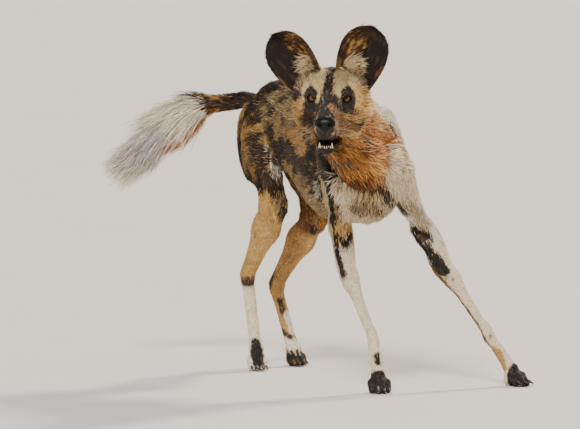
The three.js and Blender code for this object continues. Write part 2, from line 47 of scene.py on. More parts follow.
# The whole file speaks in the dog's own millimetres, as its source does: x to its left,
# y towards its tail, z up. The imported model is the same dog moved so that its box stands
# over the origin, and that move is found again from the left eye.
headPlace = {"at": (-160, -411, 628), "turn": -26.5, "nod": 4, "roll": 1}
eyePlace = {"at": (34, 4, 0), "axis": (0.42, -0.9, 0.06)}  # the left eye, in the head's own frame
headTurn = (
    Matrix.Rotation(math.radians(headPlace["turn"]), 3, "Z")
    @ Matrix.Rotation(math.radians(headPlace["nod"]), 3, "X")
    @ Matrix.Rotation(math.radians(headPlace["roll"]), 3, "Y")
)
headRows = np.array(headTurn)


def onHead(x, y, z):
    return tuple(Vector(headPlace["at"]) + headTurn @ Vector((x, y, z)))


def mirrored(point, sign):
    return (point[0] * sign, *point[1:])


def middleOf(node):
    low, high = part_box(node)
    return (low + high) / 2


moved = middleOf("eye_left") * 1000 - Vector(onHead(*eyePlace["at"]))
movedRow = np.array(moved)


def metres(point):
    return (Vector(point) + moved) / 1000


def inHead(points):
    # the same points in the head's own frame
    return (points - np.array(headPlace["at"])) @ headRows


def tone(red, green, blue):
    # screen values of 0 to 255 to light, a little more vivid than they are written
    light = [((c / 255 + 0.055) / 1.055) ** 2.4 for c in (red, green, blue)]
    middle = sum(light) / 3
    return tuple(max(0.002, middle + (c - middle) * 1.08) for c in light)


tones = {
    "black": tone(22, 18, 18),
    "slate": tone(54, 50, 53),
    "umber": tone(70, 51, 39),
    "chestnut": tone(100, 58, 34),
    "brown": tone(134, 88, 52),
    "rust": tone(182, 112, 50),
    "orange": tone(206, 132, 58),
    "apricot": tone(228, 176, 112),
    "ochre": tone(184, 142, 88),
    "honey": tone(222, 176, 108),
    "tan": tone(200, 154, 94),
    "greyTan": tone(166, 141, 100),
    "greyBrown": tone(150, 128, 102),
    "olive": tone(108, 92, 68),
    "speckled": tone(194, 174, 144),
    "paleGrey": tone(208, 203, 200),
    "pale": tone(208, 188, 140),
    "cream": tone(228, 206, 166),
    "white": tone(255, 247, 232),
    "milk": tone(250, 232, 202),
    "rosy": tone(160, 114, 74),
}

# Lines along which the hair lies, from the end that it grows away from. Each gives its
# reach, the length, width and lift of its tufts, how deep the skin lies under the coat's
# outside, how densely it grows, and the tone where no patch is painted over it.
lieLines = {
    "muzzle": (onHead(0, -98, -34), onHead(0, -22, 8), 26, 4.5, 0.9, 0.12, 0.6, 3.4, "umber"),
    "forehead": (onHead(0, -24, 14), onHead(0, 58, 30), 44, 9, 1.0, 0.2, 2.2, 3.0, "pale"),
    "cheekLeft": (onHead(30, -50, -50), onHead(66, 48, -56), 34, 15, 1.2, 0.32, 2.4, 2.6, "honey"),
    "cheekRight": (onHead(-30, -50, -50), onHead(-66, 48, -56), 34, 15, 1.2, 0.32, 2.4, 2.6, "tan"),
    "jaw": (onHead(0, -76, -92), onHead(0, 36, -88), 22, 6, 1.0, 0.16, 0.8, 3.0, "black"),
    "nape": (onHead(0, 66, 20), (-30, -150, 600), 60, 20, 2.0, 0.22, 5, 1.1, "greyBrown"),
    "neckLeft": (onHead(62, 52, -50), (20, -258, 520), 46, 40, 2.6, 0.3, 6, 1, "rust"),
    "neckRight": (onHead(-62, 52, -50), (-84, -180, 490), 52, 28, 2.4, 0.25, 6, 1, "umber"),
    "throat": (onHead(0, 20, -104), (-24, -316, 440), 52, 54, 2.8, 0.36, 6, 1.1, "rust"),
    "withers": ((0, -140, 612), (-6, -20, 600), 66, 18, 1.9, 0.2, 4.5, 1, "brindle"),
    "back": ((-6, -20, 600), (-40, 230, 620), 66, 17, 1.8, 0.18, 4.5, 1, "brindle"),
    "flankLeft": ((96, -90, 520), (66, 190, 500), 80, 16, 1.8, 0.18, 4, 1, "brindle"),
    "flankRight": ((-74, -90, 510), (-92, 190, 500), 80, 16, 1.8, 0.18, 4, 1, "brindle"),
    "chest": ((2, -292, 440), (8, -236, 352), 60, 19, 2.0, 0.26, 4, 1.1, "cream"),
    "belly": ((4, -190, 366), (-12, 130, 412), 60, 13, 1.8, 0.2, 3.5, 1, "greyTan"),
    "rump": ((-40, 236, 620), (-16, 346, 500), 60, 15, 1.8, 0.18, 4, 1, "brindle"),
    "shoulderLeft": ((64, -150, 590), (146, -178, 334), 60, 14, 1.7, 0.2, 3.6, 1, "white"),
    "shoulderRight": ((-50, -132, 558), (-46, -186, 342), 52, 14, 1.7, 0.2, 3.6, 1, "cream"),
    "forearmLeft": ((146, -178, 334), (268, -246, 112), 34, 8, 1.25, 0.14, 1.6, 1.45, "milk"),
    "forearmRight": ((-46, -186, 342), (-8, -276, 112), 34, 8, 1.25, 0.14, 1.6, 1.45, "milk"),
    "wristLeft": ((268, -246, 112), (317, -262, 34), 26, 6, 1.15, 0.14, 1, 1.6, "milk"),
    "wristRight": ((-8, -276, 112), (-5, -298, 34), 26, 6, 1.15, 0.14, 1, 1.6, "milk"),
    "forepawLeft": ((315, -258, 40), (338, -312, 12), 26, 4.2, 0.9, 0.14, 0.8, 3.0, "black"),
    "forepawRight": ((-5, -292, 40), (-14, -350, 12), 26, 4.2, 0.9, 0.14, 0.8, 3.0, "black"),
    "thighLeft": ((23, 264, 545), (51, 212, 338), 60, 14, 1.7, 0.18, 3.6, 1, "brindle"),
    "thighRight": ((-64, 260, 545), (-54, 190, 366), 60, 14, 1.7, 0.18, 3.6, 1, "brindle"),
    "shankLeft": ((51, 212, 338), (25, 390, 178), 42, 9, 1.35, 0.15, 2, 1.15, "tan"),
    "shankRight": ((-54, 190, 366), (-64, 332, 206), 42, 9, 1.35, 0.15, 2, 1.15, "tan"),
    "hockLeft": ((25, 390, 178), (51, 346, 34), 26, 6, 1.15, 0.14, 1, 1.4, "tan"),
    "hockRight": ((-64, 332, 206), (-65, 272, 44), 26, 6, 1.15, 0.14, 1, 1.4, "milk"),
    "hindpawLeft": ((51, 346, 40), (53, 300, 12), 26, 4.2, 0.9, 0.14, 0.8, 3.0, "black"),
    "hindpawRight": ((-65, 268, 44), (-74, 226, 12), 26, 4.2, 0.9, 0.14, 0.8, 3.0, "white"),
    "tailRoot": ((-22, 326, 584), (-48, 386, 590), 30, 14, 1.7, 0.2, 2.5, 1.4, "umber"),
    "tailBand": ((-48, 386, 590), (-100, 440, 581), 30, 22, 1.9, 0.22, 2.5, 1.6, "umber"),
    "plumeTop": ((-110, 448, 578), (-182, 504, 534), 34, 88, 3.0, 0.42, 3, 5.2, "white"),
    "plumeMiddle": ((-182, 504, 534), (-240, 552, 466), 34, 98, 3.0, 0.34, 3, 7.8, "white"),
}
lineStart = np.array([line[0] for line in lieLines.values()])
lineEnd = np.array([line[1] for line in lieLines.values()])
lineNumbers = np.array([line[2:8] for line in lieLines.values()], float)
lineTones = [line[8] for line in lieLines.values()]

# Patches of the coat, each a tone, a half width and the points that it runs through.
patches = [
    ("pale", 26, (-186, -412, 666), (-164, -406, 682), (-144, -430, 671)),
    ("pale", 15, (-136, -437, 658), (-153, -440, 646)),
    ("pale", 13, (-197, -405, 654), (-191, -420, 642)),
    ("honey", 19, (-101, -434, 633), (-93, -437, 604), (-113, -441, 596)),
    ("cream", 11, (-74, -400, 641), (-56, -370, 603)),
    ("tan", 13, (-219, -383, 616), (-213, -384, 587)),
    ("slate", 6, (-150, -371, 691), (-140, -380, 692)),
    ("slate", 12, (-148, -387, 692), (-152, -396, 688)),
    ("black", 9, (-148, -387, 690), (-169, -429, 667), (-178, -442, 628)),
    ("slate", 16, (-176, -443, 626), (-193, -469, 607), (-205, -492, 591)),
    ("umber", 14, (-202, -401, 587), (-210, -440, 566), (-216, -470, 552)),
    ("slate", 9, (-206, -448, 590), (-212, -460, 570), (-208, -464, 552)),
    ("slate", 9, (-193, -434, 616), (-200, -442, 606), (-206, -447, 592)),
    ("slate", 10, (-195, -418, 609), (-204, -420, 590)),
    ("rosy", 17, (-171, -464, 610), (-158, -466, 585), (-175, -491, 554), (-138, -446, 566)),
    ("rosy", 12, (-138, -446, 566), (-118, -436, 572)),
    ("umber", 13, (-160, -444, 625), (-152, -447, 610)),
    ("umber", 16, onHead(-36, -2, 1), onHead(-38, -8, -20)),
    ("umber", 16, onHead(36, -2, 1), onHead(38, -8, -20)),
    ("black", 13, onHead(-34, 0, 3), onHead(-36, -6, -15)),
    ("black", 13, onHead(34, 0, 3), onHead(36, -6, -15)),
    ("black", 6, (-204, -492, 556), (-198, -483, 548)),
    ("umber", 10, (-100, -432, 581), (-105, -427, 568)),
    ("black", 12, onHead(-14, -62, -104), onHead(14, -62, -104)),
    ("rust", 28, (-41, -351, 557), (-29, -333, 514), (-41, -329, 483), (-12, -307, 456)),
    ("apricot", 11, (-96, -365, 517), (-65, -344, 499), (-27, -323, 486)),
    ("umber", 13, (-82, -376, 547), (-98, -383, 533)),
    ("chestnut", 22, (-107, -307, 489), (-85, -310, 476), (-67, -303, 455)),
    ("ochre", 20, (-75, -3, 527), (-78, -48, 505)),
    ("umber", 9, (-199, -377, 555), (-188, -350, 540)),
    ("milk", 34, (-92, -229, 457), (-83, -246, 426), (-57, -238, 394), (-39, -221, 371)),
    ("greyBrown", 15, (-39, -255, 394), (-6, -282, 398), (81, -195, 384)),
    ("greyTan", 9, (-38, -275, 425), (-12, -290, 421)),
    ("milk", 32, (26, -285, 494), (54, -274, 457), (93, -246, 423)),
    ("milk", 26, (32, -203, 592), (54, -228, 539), (79, -245, 487)),
    ("umber", 10, (-13, -304, 454), (19, -291, 423), (85, -197, 380)),
    ("umber", 7, (65, -178, 564), (67, -214, 532), (73, -227, 507)),
    # painted highlight: a honey band along the top of the ruff, where light falls on it
    ("honey", 14, (-20, -299, 601), (-21, -324, 568)),
    ("umber", 7, (36, -274, 508), (45, -278, 487)),
    ("black", 8, (-106, -194, 500), (-78, -130, 462), (-74, -125, 428), (-64, -112, 397)),
    ("black", 25, (-88, -224, 488), (-86, -226, 460), (-84, -222, 430)),
    ("black", 16, (-84, -216, 420), (-80, -208, 395), (-75, -204, 372)),
    ("black", 8, (-74, -200, 369), (-69, -206, 335)),
    ("umber", 22, onHead(-44, 14, -88), onHead(-36, 44, -112)),
    ("olive", 16, onHead(-22, 0, -98), onHead(-20, 34, -116)),
    ("umber", 9, (-109, -202, 509), (-83, -147, 474)),
    ("paleGrey", 8, (-78, -113, 444), (-72, -113, 414)),
    ("black", 11, (-78, -229, 404), (-67, -216, 369)),
    ("tan", 5, (-76, -227, 400), (-67, -218, 374)),
    ("honey", 11, (-65, -212, 354), (-37, -218, 348)),
    ("black", 7, (-71, -201, 335), (-60, -219, 330), (-52, -227, 311), (-32, -215, 339)),
    ("black", 6, (-70, -203, 333), (-68, -214, 303)),
    ("orange", 4, (-64, -216, 323)),
    ("black", 8, (-70, -207, 303), (-67, -218, 285), (-62, -227, 260), (-61, -232, 247)),
    ("black", 7, (-7, -299, 79), (-8, -304, 65)),
    ("paleGrey", 4, (-18, -339, 14), (-19, -345, 4)),
    ("speckled", 17, (93, -224, 390), (137, -210, 356)),
    ("black", 10, (114, -190, 342), (145, -208, 323)),
    ("olive", 8, (131, -197, 317), (146, -206, 304)),
    ("brown", 10, (150, -183, 276), (178, -206, 223), (225, -225, 162),
        (253, -240, 107), (277, -249, 74)),
    ("black", 14, (119, -164, 337), (135, -178, 302), (154, -210, 278), (175, -220, 249)),
    ("umber", 4, (194, -229, 229)),
    ("tan", 9, (270, -245, 90), (282, -264, 73), (297, -260, 38)),
    ("umber", 3, (267, -262, 106)),
    ("black", 15, (-54, 234, 627), (-32, 213, 634), (10, 190, 630)),
    ("black", 15, (-60, 237, 622), (-78, 250, 598), (-98, 243, 570)),
    ("greyTan", 15, (-74, 193, 581), (-78, 177, 542)),
    ("greyTan", 19, (-59, 171, 608), (-70, 65, 586), (-74, 30, 558)),
    ("umber", 9, (-63, 131, 601), (-54, 95, 613)),
    ("ochre", 17, (-96, 228, 558), (-106, 244, 531), (-107, 244, 505)),
    ("black", 9, (-95, 231, 564), (-79, 199, 559)),
    ("black", 17, (-77, 155, 539), (-76, 133, 509), (-69, 127, 475)),
    ("umber", 14, (-97, 213, 515), (-89, 196, 485), (-83, 188, 457)),
    ("ochre", 11, (-102, 231, 477), (-95, 219, 444)),
    ("black", 9, (-65, 168, 475), (-48, 194, 460), (-51, 175, 450)),
    ("white", 2.4, (-72, 171, 492), (-72, 175, 468), (-65, 169, 442)),
    ("paleGrey", 4.5, (-59, 171, 453), (-37, 180, 443)),
    ("black", 7, (-62, 170, 433), (-62, 164, 396)),
    ("umber", 13, (-83, 188, 441), (-77, 181, 420)),
    ("honey", 36, (-88, 199, 370), (-78, 201, 325), (-69, 251, 266)),
    ("black", 6, (-78, 252, 408), (-85, 213, 372)),
    ("umber", 4, (-76, 244, 351), (-86, 230, 301)),
    ("umber", 11, (-80, 315, 194), (-62, 301, 194)),
    ("black", 11, (-69, 262, 63), (-74, 256, 41), (-72, 242, 20)),
    ("black", 6, (-58, 255, 45), (-64, 239, 20)),
    ("brown", 24, (6, 218, 398), (22, 199, 366), (21, 228, 321)),
    ("orange", 8, (56, 170, 386), (54, 184, 322)),
    ("ochre", 20, (26, 240, 298), (29, 298, 239), (31, 346, 191)),
    ("honey", 7, (52, 228, 287), (56, 297, 233), (50, 346, 197)),
    ("umber", 7, (19, 356, 232), (9, 384, 178)),
    ("tan", 15, (19, 366, 156), (27, 359, 101)),
    ("umber", 7, (27, 366, 145), (31, 358, 119)),
    ("white", 8, (44, 350, 118), (49, 338, 79)),
    ("white", 16, (36, 341, 53), (50, 327, 40)),
    ("umber", 6, (29, 359, 76), (41, 341, 64)),
    ("greyTan", 7, (43, 309, 13)),
    ("greyTan", 8, (70, 309, 12)),
    ("ochre", 13, (-76, 25, 536), (-78, -15, 508)),
    ("umber", 15, (-76, 48, 492), (-83, -43, 469), (-80, -106, 457)),
    ("greyTan", 17, (-82, -39, 432), (-68, -63, 394)),
    ("black", 9, (-68, 396, 594), (-51, 372, 594)),
    ("tan", 9, (-92, 423, 588), (-74, 408, 588)),
    ("black", 6, (-118, 448, 592), (-93, 427, 594)),
    ("orange", 9, (-80, 419, 566), (-112, 450, 553), (-146, 476, 530), (-170, 496, 516)),
    ("paleGrey", 7, (-150, 462, 560), (-187, 492, 534), (-222, 524, 492)),
    # from here on the sides that the photograph doesn't show, in the same manner
    ("white", 24, (100, 10, 520), (104, 60, 500), (92, 90, 470)),
    ("ochre", 22, (100, -60, 470), (96, -10, 440)),
    ("black", 20, (96, 110, 560), (80, 60, 590)),
    ("greyTan", 18, (60, 20, 606), (30, -40, 612)),
    ("ochre", 20, (84, 230, 560), (88, 250, 500)),
    ("white", 12, (84, 200, 470), (86, 230, 440)),
    ("black", 18, (80, 190, 540), (88, 180, 500)),
    ("umber", 14, (84, 260, 430), (70, 280, 380)),
    ("white", 16, (10, 90, 620), (20, 120, 616)),
    ("black", 14, (110, -170, 470), (130, -150, 420)),
    ("umber", 10, (160, -150, 330), (190, -190, 260)),
    ("black", 20, (-30, -110, 612), (0, -60, 612)),
    ("ochre", 16, (-10, 330, 500), (-10, 320, 440)),
    ("black", 9, (-60, 350, 160), (-62, 330, 130)),
]


# The clefts between the toes: the ball of each foot, the way that it turns and its size.
feet = {
    "forepawLeft": ((317, -262), 26, 1.0),
    "forepawRight": ((-5, -298), -14, 1.0),
    "hindpawLeft": ((51, 346), 4, 0.93),
    "hindpawRight": ((-65, 272), -10, 0.93),
}
clefts = []
for (ballX, ballY), turn, size in feet.values():
    c, s = math.cos(math.radians(turn)), math.sin(math.radians(turn))
    for across in (-11.5, 0, 11.5):
        tip = across * 1.15
        cleft = []
        for x, y, z in ((across * 0.9, -10, 31), (across, -27, 25), (tip, -42, 11), (tip, -44, 4)):
            cleft.append((ballX + size * (x * c - y * s), ballY + size * (x * s + y * c), z))
        clefts.append(cleft)
for cleft in clefts:
    patches.append(("black", 3.4, *cleft))


def jag(points, size, seed):
    # smooth noise between -1 and 1, its lumps about one size across, the same on every run
    grid = points / size + seed * 17.31
    cell = np.floor(grid).astype(np.int64)
    part = grid - cell
    part = part * part * (3 - 2 * part)
    total = np.zeros(len(points))
    for dx in (0, 1):
        for dy in (0, 1):
            for dz in (0, 1):
                mark = (cell[:, 0] + dx) * 73856093
                mark = mark ^ (cell[:, 1] + dy) * 19349663 ^ (cell[:, 2] + dz) * 83492791
                mark = (mark ^ seed * 9781) & 0x7FFFFFFF
                mark = ((mark ^ (mark >> 13)) * 1274126177) & 0x7FFFFFFF
                mark = ((mark ^ (mark >> 16)) * 668265263) & 0x7FFFFFFF
                share = np.where(dx, part[:, 0], 1 - part[:, 0])
                share = share * np.where(dy, part[:, 1], 1 - part[:, 1])
                share = share * np.where(dz, part[:, 2], 1 - part[:, 2])
                total += share * ((mark >> 7) % 65536 / 32768 - 1)
    return total


def fromStretch(points, start, end):
    along = end - start
    share = np.clip((points - start) @ along / max(along @ along, 1e-9), 0, 1)
    return np.linalg.norm(points - start - share[:, None] * along, axis=1)


def pulls(points):
    # how strongly each lie line acts on each point
    away = np.stack([fromStretch(points, a, b) for a, b in zip(lineStart, lineEnd)], 1)
    pull = 1 / (0.02 + (away / lineNumbers[:, 0]) ** 5)
    return pull / pull.sum(1, keepdims=True)


streakWay = np.array([0, 0.83, -0.56])  # the brindle of the body runs back and down
flecks = {  # tones that are mixed, each with what runs through it and how much of it
    "rosy": (("umber", 0.34), ("speckled", 0.3), ("chestnut", 0.25)),
    "rust": (("chestnut", 0.34), ("honey", 0.24)),
    "pale": (("greyTan", 0.25), ("cream", 0.24)),
    "slate": (("black", 0.4), ("greyTan", 0.14)),
    "honey": (("tan", 0.3), ("cream", 0.2)),
    "tan": (("greyBrown", 0.25), ("honey", 0.2)),
    "ochre": (("umber", 0.22), ("honey", 0.2)),
    "greyTan": (("umber", 0.25), ("cream", 0.18)),
    "greyBrown": (("umber", 0.3), ("cream", 0.22)),
    "umber": (("black", 0.35), ("greyBrown", 0.14)),
    "black": (("umber", 0.3),),
    "milk": (("white", 0.3), ("tan", 0.08)),
    "brown": (("chestnut", 0.3), ("umber", 0.25), ("tan", 0.15)),
    "white": (("paleGrey", 0.12), ("cream", 0.26)),
    "speckled": (("greyTan", 0.35), ("white", 0.2)),
}


def coatTone(points, pull):
    ragged = jag(points, 13, 3) * 0.6 + jag(points, 5, 4) * 0.4
    broad = jag(points, 26, 7)
    streaked = points - (points @ streakWay)[:, None] * streakWay * 0.62
    patchy = jag(streaked, 24, 5) * 0.55 + jag(streaked, 9, 6) * 0.45
    blot = jag(points, 90, 8) * 0.8 + ragged * 0.2
    brindle = np.tile(tones["umber"], (len(points), 1))
    brindle[patchy < -0.12] = tones["black"]
    brindle[patchy > 0.06] = tones["greyTan"]
    brindle[patchy > 0.2] = tones["ochre"]
    brindle[(blot > 0.5) & (patchy > -0.2) & (points[:, 0] > 20)] = tones["white"]
    strongest = np.argmax(pull * (1 + 0.5 * ragged[:, None]), 1)
    colour = np.zeros((len(points), 3))
    grain = [jag(points, 4.2, 50 + i) + 0.5 * jag(points, 1.9, 80 + i) for i in range(3)]

    def mixed(name):
        made = np.tile(tones[name], (len(points), 1))
        for (other, share), spread in zip(flecks.get(name, ()), grain):
            strong = np.clip((spread - 0.62 + share * 1.6) * 3, 0, 1)[:, None] * 0.85
            made = made * (1 - strong) + np.array(tones[other]) * strong
        return made

    for name in set(lineTones):
        here = np.isin(strongest, [i for i, one in enumerate(lineTones) if one == name])
        colour[here] = brindle[here] if name == "brindle" else mixed(name)[here]
    for name, reach, *run in patches:
        run = [np.array(p, float) for p in run]
        if len(run) == 1:
            run = run * 2
        away = np.min([fromStretch(points, a, b) for a, b in zip(run, run[1:])], 0)
        close = away < reach * 1.8 + 12
        if not close.any():
            continue
        edge = reach * 1.04 + ragged * min(reach * 0.4, 9) + broad * max(0, min(reach * 0.4 - 3, 10))
        inside = np.clip((edge - away) / 2.4 + 0.5, 0, 1)[:, None]
        colour = colour * (1 - inside) + mixed(name) * inside
    streak = np.clip((jag(streaked, 7, 12) - 0.2) * 2.2, 0, 0.65) * onBody(pull)
    colour = colour * (1 - streak[:, None]) + np.array(tones["umber"]) * streak[:, None]
    return colour * (1 + 0.2 * jag(points, 3.2, 9))[:, None]


def onBody(pull):
    body = [i for i, name in enumerate(lieLines) if lineTones[i] == "brindle"]
    return pull[:, body].sum(1)


fleshNodes = ["torso", "tail_root"]
legParts = ("shoulder", "forearm", "wrist", "forepaw", "thigh", "shank", "hock", "hindpaw")
for side in ("left", "right"):
    fleshNodes += [part + "_" + side for part in legParts]
headNodes = ["head", "lower_jaw"]


def pickOnly(*objects):
    bpy.ops.object.select_all(action="DESELECT")
    for one in objects:
        one.select_set(True)
    bpy.context.view_layer.objects.active = objects[0]


def joined(objects, name):
    pickOnly(*objects)
    if len(objects) > 1:
        bpy.ops.object.join()
    whole = bpy.context.view_layer.objects.active
    whole.name = name
    whole.data.name = name
    return whole


def onWhole(thing, act, **settings):
    # one act of edit mode on all of a mesh
    pickOnly(thing)
    bpy.ops.object.mode_set(mode="EDIT")
    bpy.ops.mesh.select_all(action="SELECT")
    act(**settings)
    bpy.ops.object.mode_set(mode="OBJECT")


def copiesOf(nodes, name):
    copies = []
    for node in nodes:
        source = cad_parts[node]
        mesh = source.data.copy()
        mesh.materials.clear()
        copy = bpy.data.objects.new(node + "Copy", mesh)
        bpy.context.scene.collection.objects.link(copy)
        copies.append(copy)
    whole = joined(copies, name)
    onWhole(whole, bpy.ops.mesh.remove_doubles, threshold=0.00001)
    return whole


def muscle(name, start, startRadius, end, endRadius):
    # one tapered limb of flesh: two balls in one skin
    balls = []
    for point, radius in ((start, startRadius), (end, endRadius)):
        bpy.ops.mesh.primitive_uv_sphere_add(
            segments=24, ring_count=16, radius=radius / 1000, location=metres(point)
        )
        balls.append(bpy.context.object)
    whole = joined(balls, name)
    bpy.ops.object.transform_apply(location=True, rotation=True, scale=True)
    onWhole(whole, bpy.ops.mesh.convex_hull)
    return whole


def applied(target, kind, **settings):
    pickOnly(target)
    change = target.modifiers.new(kind.title(), kind)
    for key, value in settings.items():
        setattr(change, key, value)
    bpy.ops.object.modifier_apply(modifier=change.name)


def smoothed(thing):
    for face in thing.data.polygons:
        face.use_smooth = True


def unwrapped(thing):
    onWhole(thing, bpy.ops.uv.smart_project, angle_limit=math.radians(66), island_margin=0.001)
    thing.data.uv_layers[0].name = "OFBake"


# the flesh of the neck and the tail, under their long hair: two ends, each with its radius
innerFlesh = {
    "neckMiddle": ((6, -165, 506), 78, onHead(0, 50, -16), 51),
    "neckCrest": ((0, -130, 580), 34, onHead(0, 62, 6), 40),
    "neckThroat": ((8, -232, 462), 54, onHead(0, 44, -62), 35),
    "tailBase": ((-22, 326, 584), 20, (-48, 386, 590), 19),
    "tailBend": ((-48, 386, 590), 19, (-110, 448, 578), 17),
    "tailFall": ((-110, 448, 578), 17, (-182, 504, 534), 13),
    "tailEnd": ((-182, 504, 534), 13, (-236, 549, 471), 7),
}
fleshGrain = {"body": 0.0034, "head": 0.0021}

muscles = [muscle(name, *sizes) for name, sizes in innerFlesh.items()]
body = joined([copiesOf(fleshNodes, "skin")] + muscles, "skin")
applied(body, "REMESH", mode="VOXEL", voxel_size=fleshGrain["body"])
applied(body, "SMOOTH", factor=0.5, iterations=3)
skull = copiesOf(headNodes, "skull")
applied(skull, "REMESH", mode="VOXEL", voxel_size=fleshGrain["head"])
applied(skull, "SMOOTH", factor=0.5, iterations=2)
print("flesh remeshed", len(body.data.polygons), len(skull.data.polygons))


def pointsOf(mesh):
    flat = np.empty(len(mesh.vertices) * 3)
    mesh.vertices.foreach_get("co", flat)
    return flat.reshape(-1, 3) * 1000 - movedRow


def normalsOf(mesh):
    flat = np.empty(len(mesh.vertices) * 3)
    mesh.vertex_normals.foreach_get("vector", flat)
    return flat.reshape(-1, 3)


hollows = {"cleftDepth": 3.4, "cleftWidth": 3.0, "wristDepth": 5, "wristWidth": 20}
wrists = ((268, -246, 112), (-8, -276, 112))


def sunkIn(thing):
    # the skin lies under the coat's outside by the depth of the coat
    points, normals = pointsOf(thing.data), normalsOf(thing.data)
    depth = pulls(points) @ lineNumbers[:, 4]
    depth *= np.clip(points[:, 2] / 12, 0, 1)
    for cleft in clefts:
        run = [np.array(p, float) for p in cleft]
        away = np.min([fromStretch(points, a, b) for a, b in zip(run, run[1:])], 0)
        depth += hollows["cleftDepth"] * np.exp(-((away / hollows["cleftWidth"]) ** 2))
    for wrist in wrists:
        away = np.linalg.norm(points - wrist, axis=1)
        depth += hollows["wristDepth"] * np.exp(-((away / hollows["wristWidth"]) ** 2))
    points -= normals * depth[:, None]
    thing.data.vertices.foreach_set("co", ((points + movedRow) / 1000).ravel())
    thing.data.update()


for part in (body, skull):
    sunkIn(part)
applied(body, "BOOLEAN", operation="UNION", solver="MANIFOLD", object=skull)
bpy.data.objects.remove(skull)
skin = body
smoothed(skin)
unwrapped(skin)
print("skin joined", len(skin.data.polygons))


def insideMouth(local, turned):
    # the roof of the mouth, and the floor of it between the lower teeth
    length, width = local[:, 1], np.abs(local[:, 0])
    height = local[:, 2]
    roof = (turned[:, 2] < -0.3) & (height > -93) & (height < -62) & (length > -88) & (width < 23)
    floor = (turned[:, 2] > 0.2) & (height < -79) & (length > -84) & (width < 22)
    return (roof | floor) & (length < 8)


def paint(thing, name, colours):
    layer = thing.data.attributes.new(name, "FLOAT_COLOR", "POINT")
    layer.data.foreach_set("color", np.concatenate([colours, np.ones((len(colours), 1))], 1).ravel())


def onSkin(point):
    # the patches were written on the outside of the coat, and are brought down to the skin
    spot = skin.closest_point_on_mesh(metres(point))[1]
    return tuple(spot * 1000 - moved)


patches = [(name, reach, *(onSkin(point) for point in run)) for name, reach, *run in patches]
skinPoints = pointsOf(skin.data)
# the skin takes the coat's tones darkened to 0.72: painted shade under the hair, where it shows between
# the tufts
skinTones = coatTone(skinPoints, pulls(skinPoints)) * 0.72
gums = insideMouth(inHead(skinPoints), normalsOf(skin.data) @ headRows)
skinTones[gums] = tone(34, 14, 13)
paint(skin, "coat", skinTones)
print("skin painted")


class Finish:
    def __init__(self, tree, socket=None):
        self.tree = tree
        self.socket = socket

    def node(self, kind, settings=None, sockets=None, out=0):
        made = self.tree.nodes.new(kind)
        for key, value in (settings or {}).items():
            if key == "stops":
                ramp = made.color_ramp
                while len(ramp.elements) < len(value):
                    ramp.elements.new(0.5)
                for element, (place, colour) in zip(ramp.elements, value):
                    element.position = place
                    element.color = (*colour, 1) if len(colour) == 3 else colour
            else:
                setattr(made, key, value)
        for key, value in (sockets or {}).items():
            if isinstance(value, Finish):
                self.tree.links.new(value.socket, made.inputs[key])
            else:
                made.inputs[key].default_value = value
        return Finish(self.tree, made.outputs[out])

    def sums(self, operation, first, second):
        return self.node("ShaderNodeMath", {"operation": operation}, {0: first, 1: second})

    def __add__(self, other):
        return self.sums("ADD", self, other)

    __radd__ = __add__

    def __sub__(self, other):
        return self.sums("SUBTRACT", self, other)

    def __rsub__(self, other):
        return self.sums("SUBTRACT", other, self)

    def __mul__(self, other):
        return self.sums("MULTIPLY", self, other)

    __rmul__ = __mul__

    def blend(self, first, second):
        # this value is the share of the second colour
        return self.node("ShaderNodeMix", {"data_type": "RGBA"}, {0: self, 6: first, 7: second}, out=2)

    def noise(self, scale, detail):
        place = self.node("ShaderNodeTexCoord", out=3)
        return self.node("ShaderNodeTexNoise", {}, {"Vector": place, "Scale": scale, "Detail": detail})

    def relief(self, strength, depth):
        return self.node("ShaderNodeBump", {}, {"Height": self, "Strength": strength, "Distance": depth})


def newFinish(name, build, **constants):
    made = bpy.data.materials.new(name)
    made.use_nodes = True
    shader = made.node_tree.nodes["Principled BSDF"]
    for key, value in constants.items():
        shader.inputs[key.replace("_", " ")].default_value = value
    links = build(Finish(made.node_tree))
    for key, value in links.items():
        made.node_tree.links.new(value.socket, shader.inputs[key])
    return made


def grained(scale, detail, first, second, strength=0, depth=0):
    # two tones mixed by a fine noise, which can also stand in relief
    def build(kit):
        fine = kit.noise(scale, detail)
        links = {"Base Color": fine.blend((*first, 1), (*second, 1))}
        if strength:
            links["Normal"] = fine.relief(strength, depth)
        return links

    return build


def painted(scale, detail, dark, bright, strength, depth):
    # the painted tones with a fine grain over them, in tone and in relief
    def build(kit):
        coat = kit.node("ShaderNodeAttribute", {"attribute_name": "coat"})
        fine = kit.noise(scale, detail)
        shade = kit.node("ShaderNodeMapRange", {}, {0: fine, 1: 0.3, 2: 0.7, 3: dark, 4: bright})
        colour = kit.node("ShaderNodeVectorMath", {"operation": "SCALE"}, {0: coat, 3: shade})
        return {"Base Color": colour, "Normal": fine.relief(strength, depth)}

    return build


skinPaint = newFinish("skinUnderCoat", painted(380.0, 4.0, 0.75, 1.15, 0.5, 0.001), Roughness=0.85)
hairPaint = newFinish(
    "hair", painted(520.0, 3.0, 0.72, 1.2, 0.25, 0.0006), Roughness=0.6, Specular_IOR_Level=0.28
)
skin.data.materials.clear()
skin.data.materials.append(skinPaint)


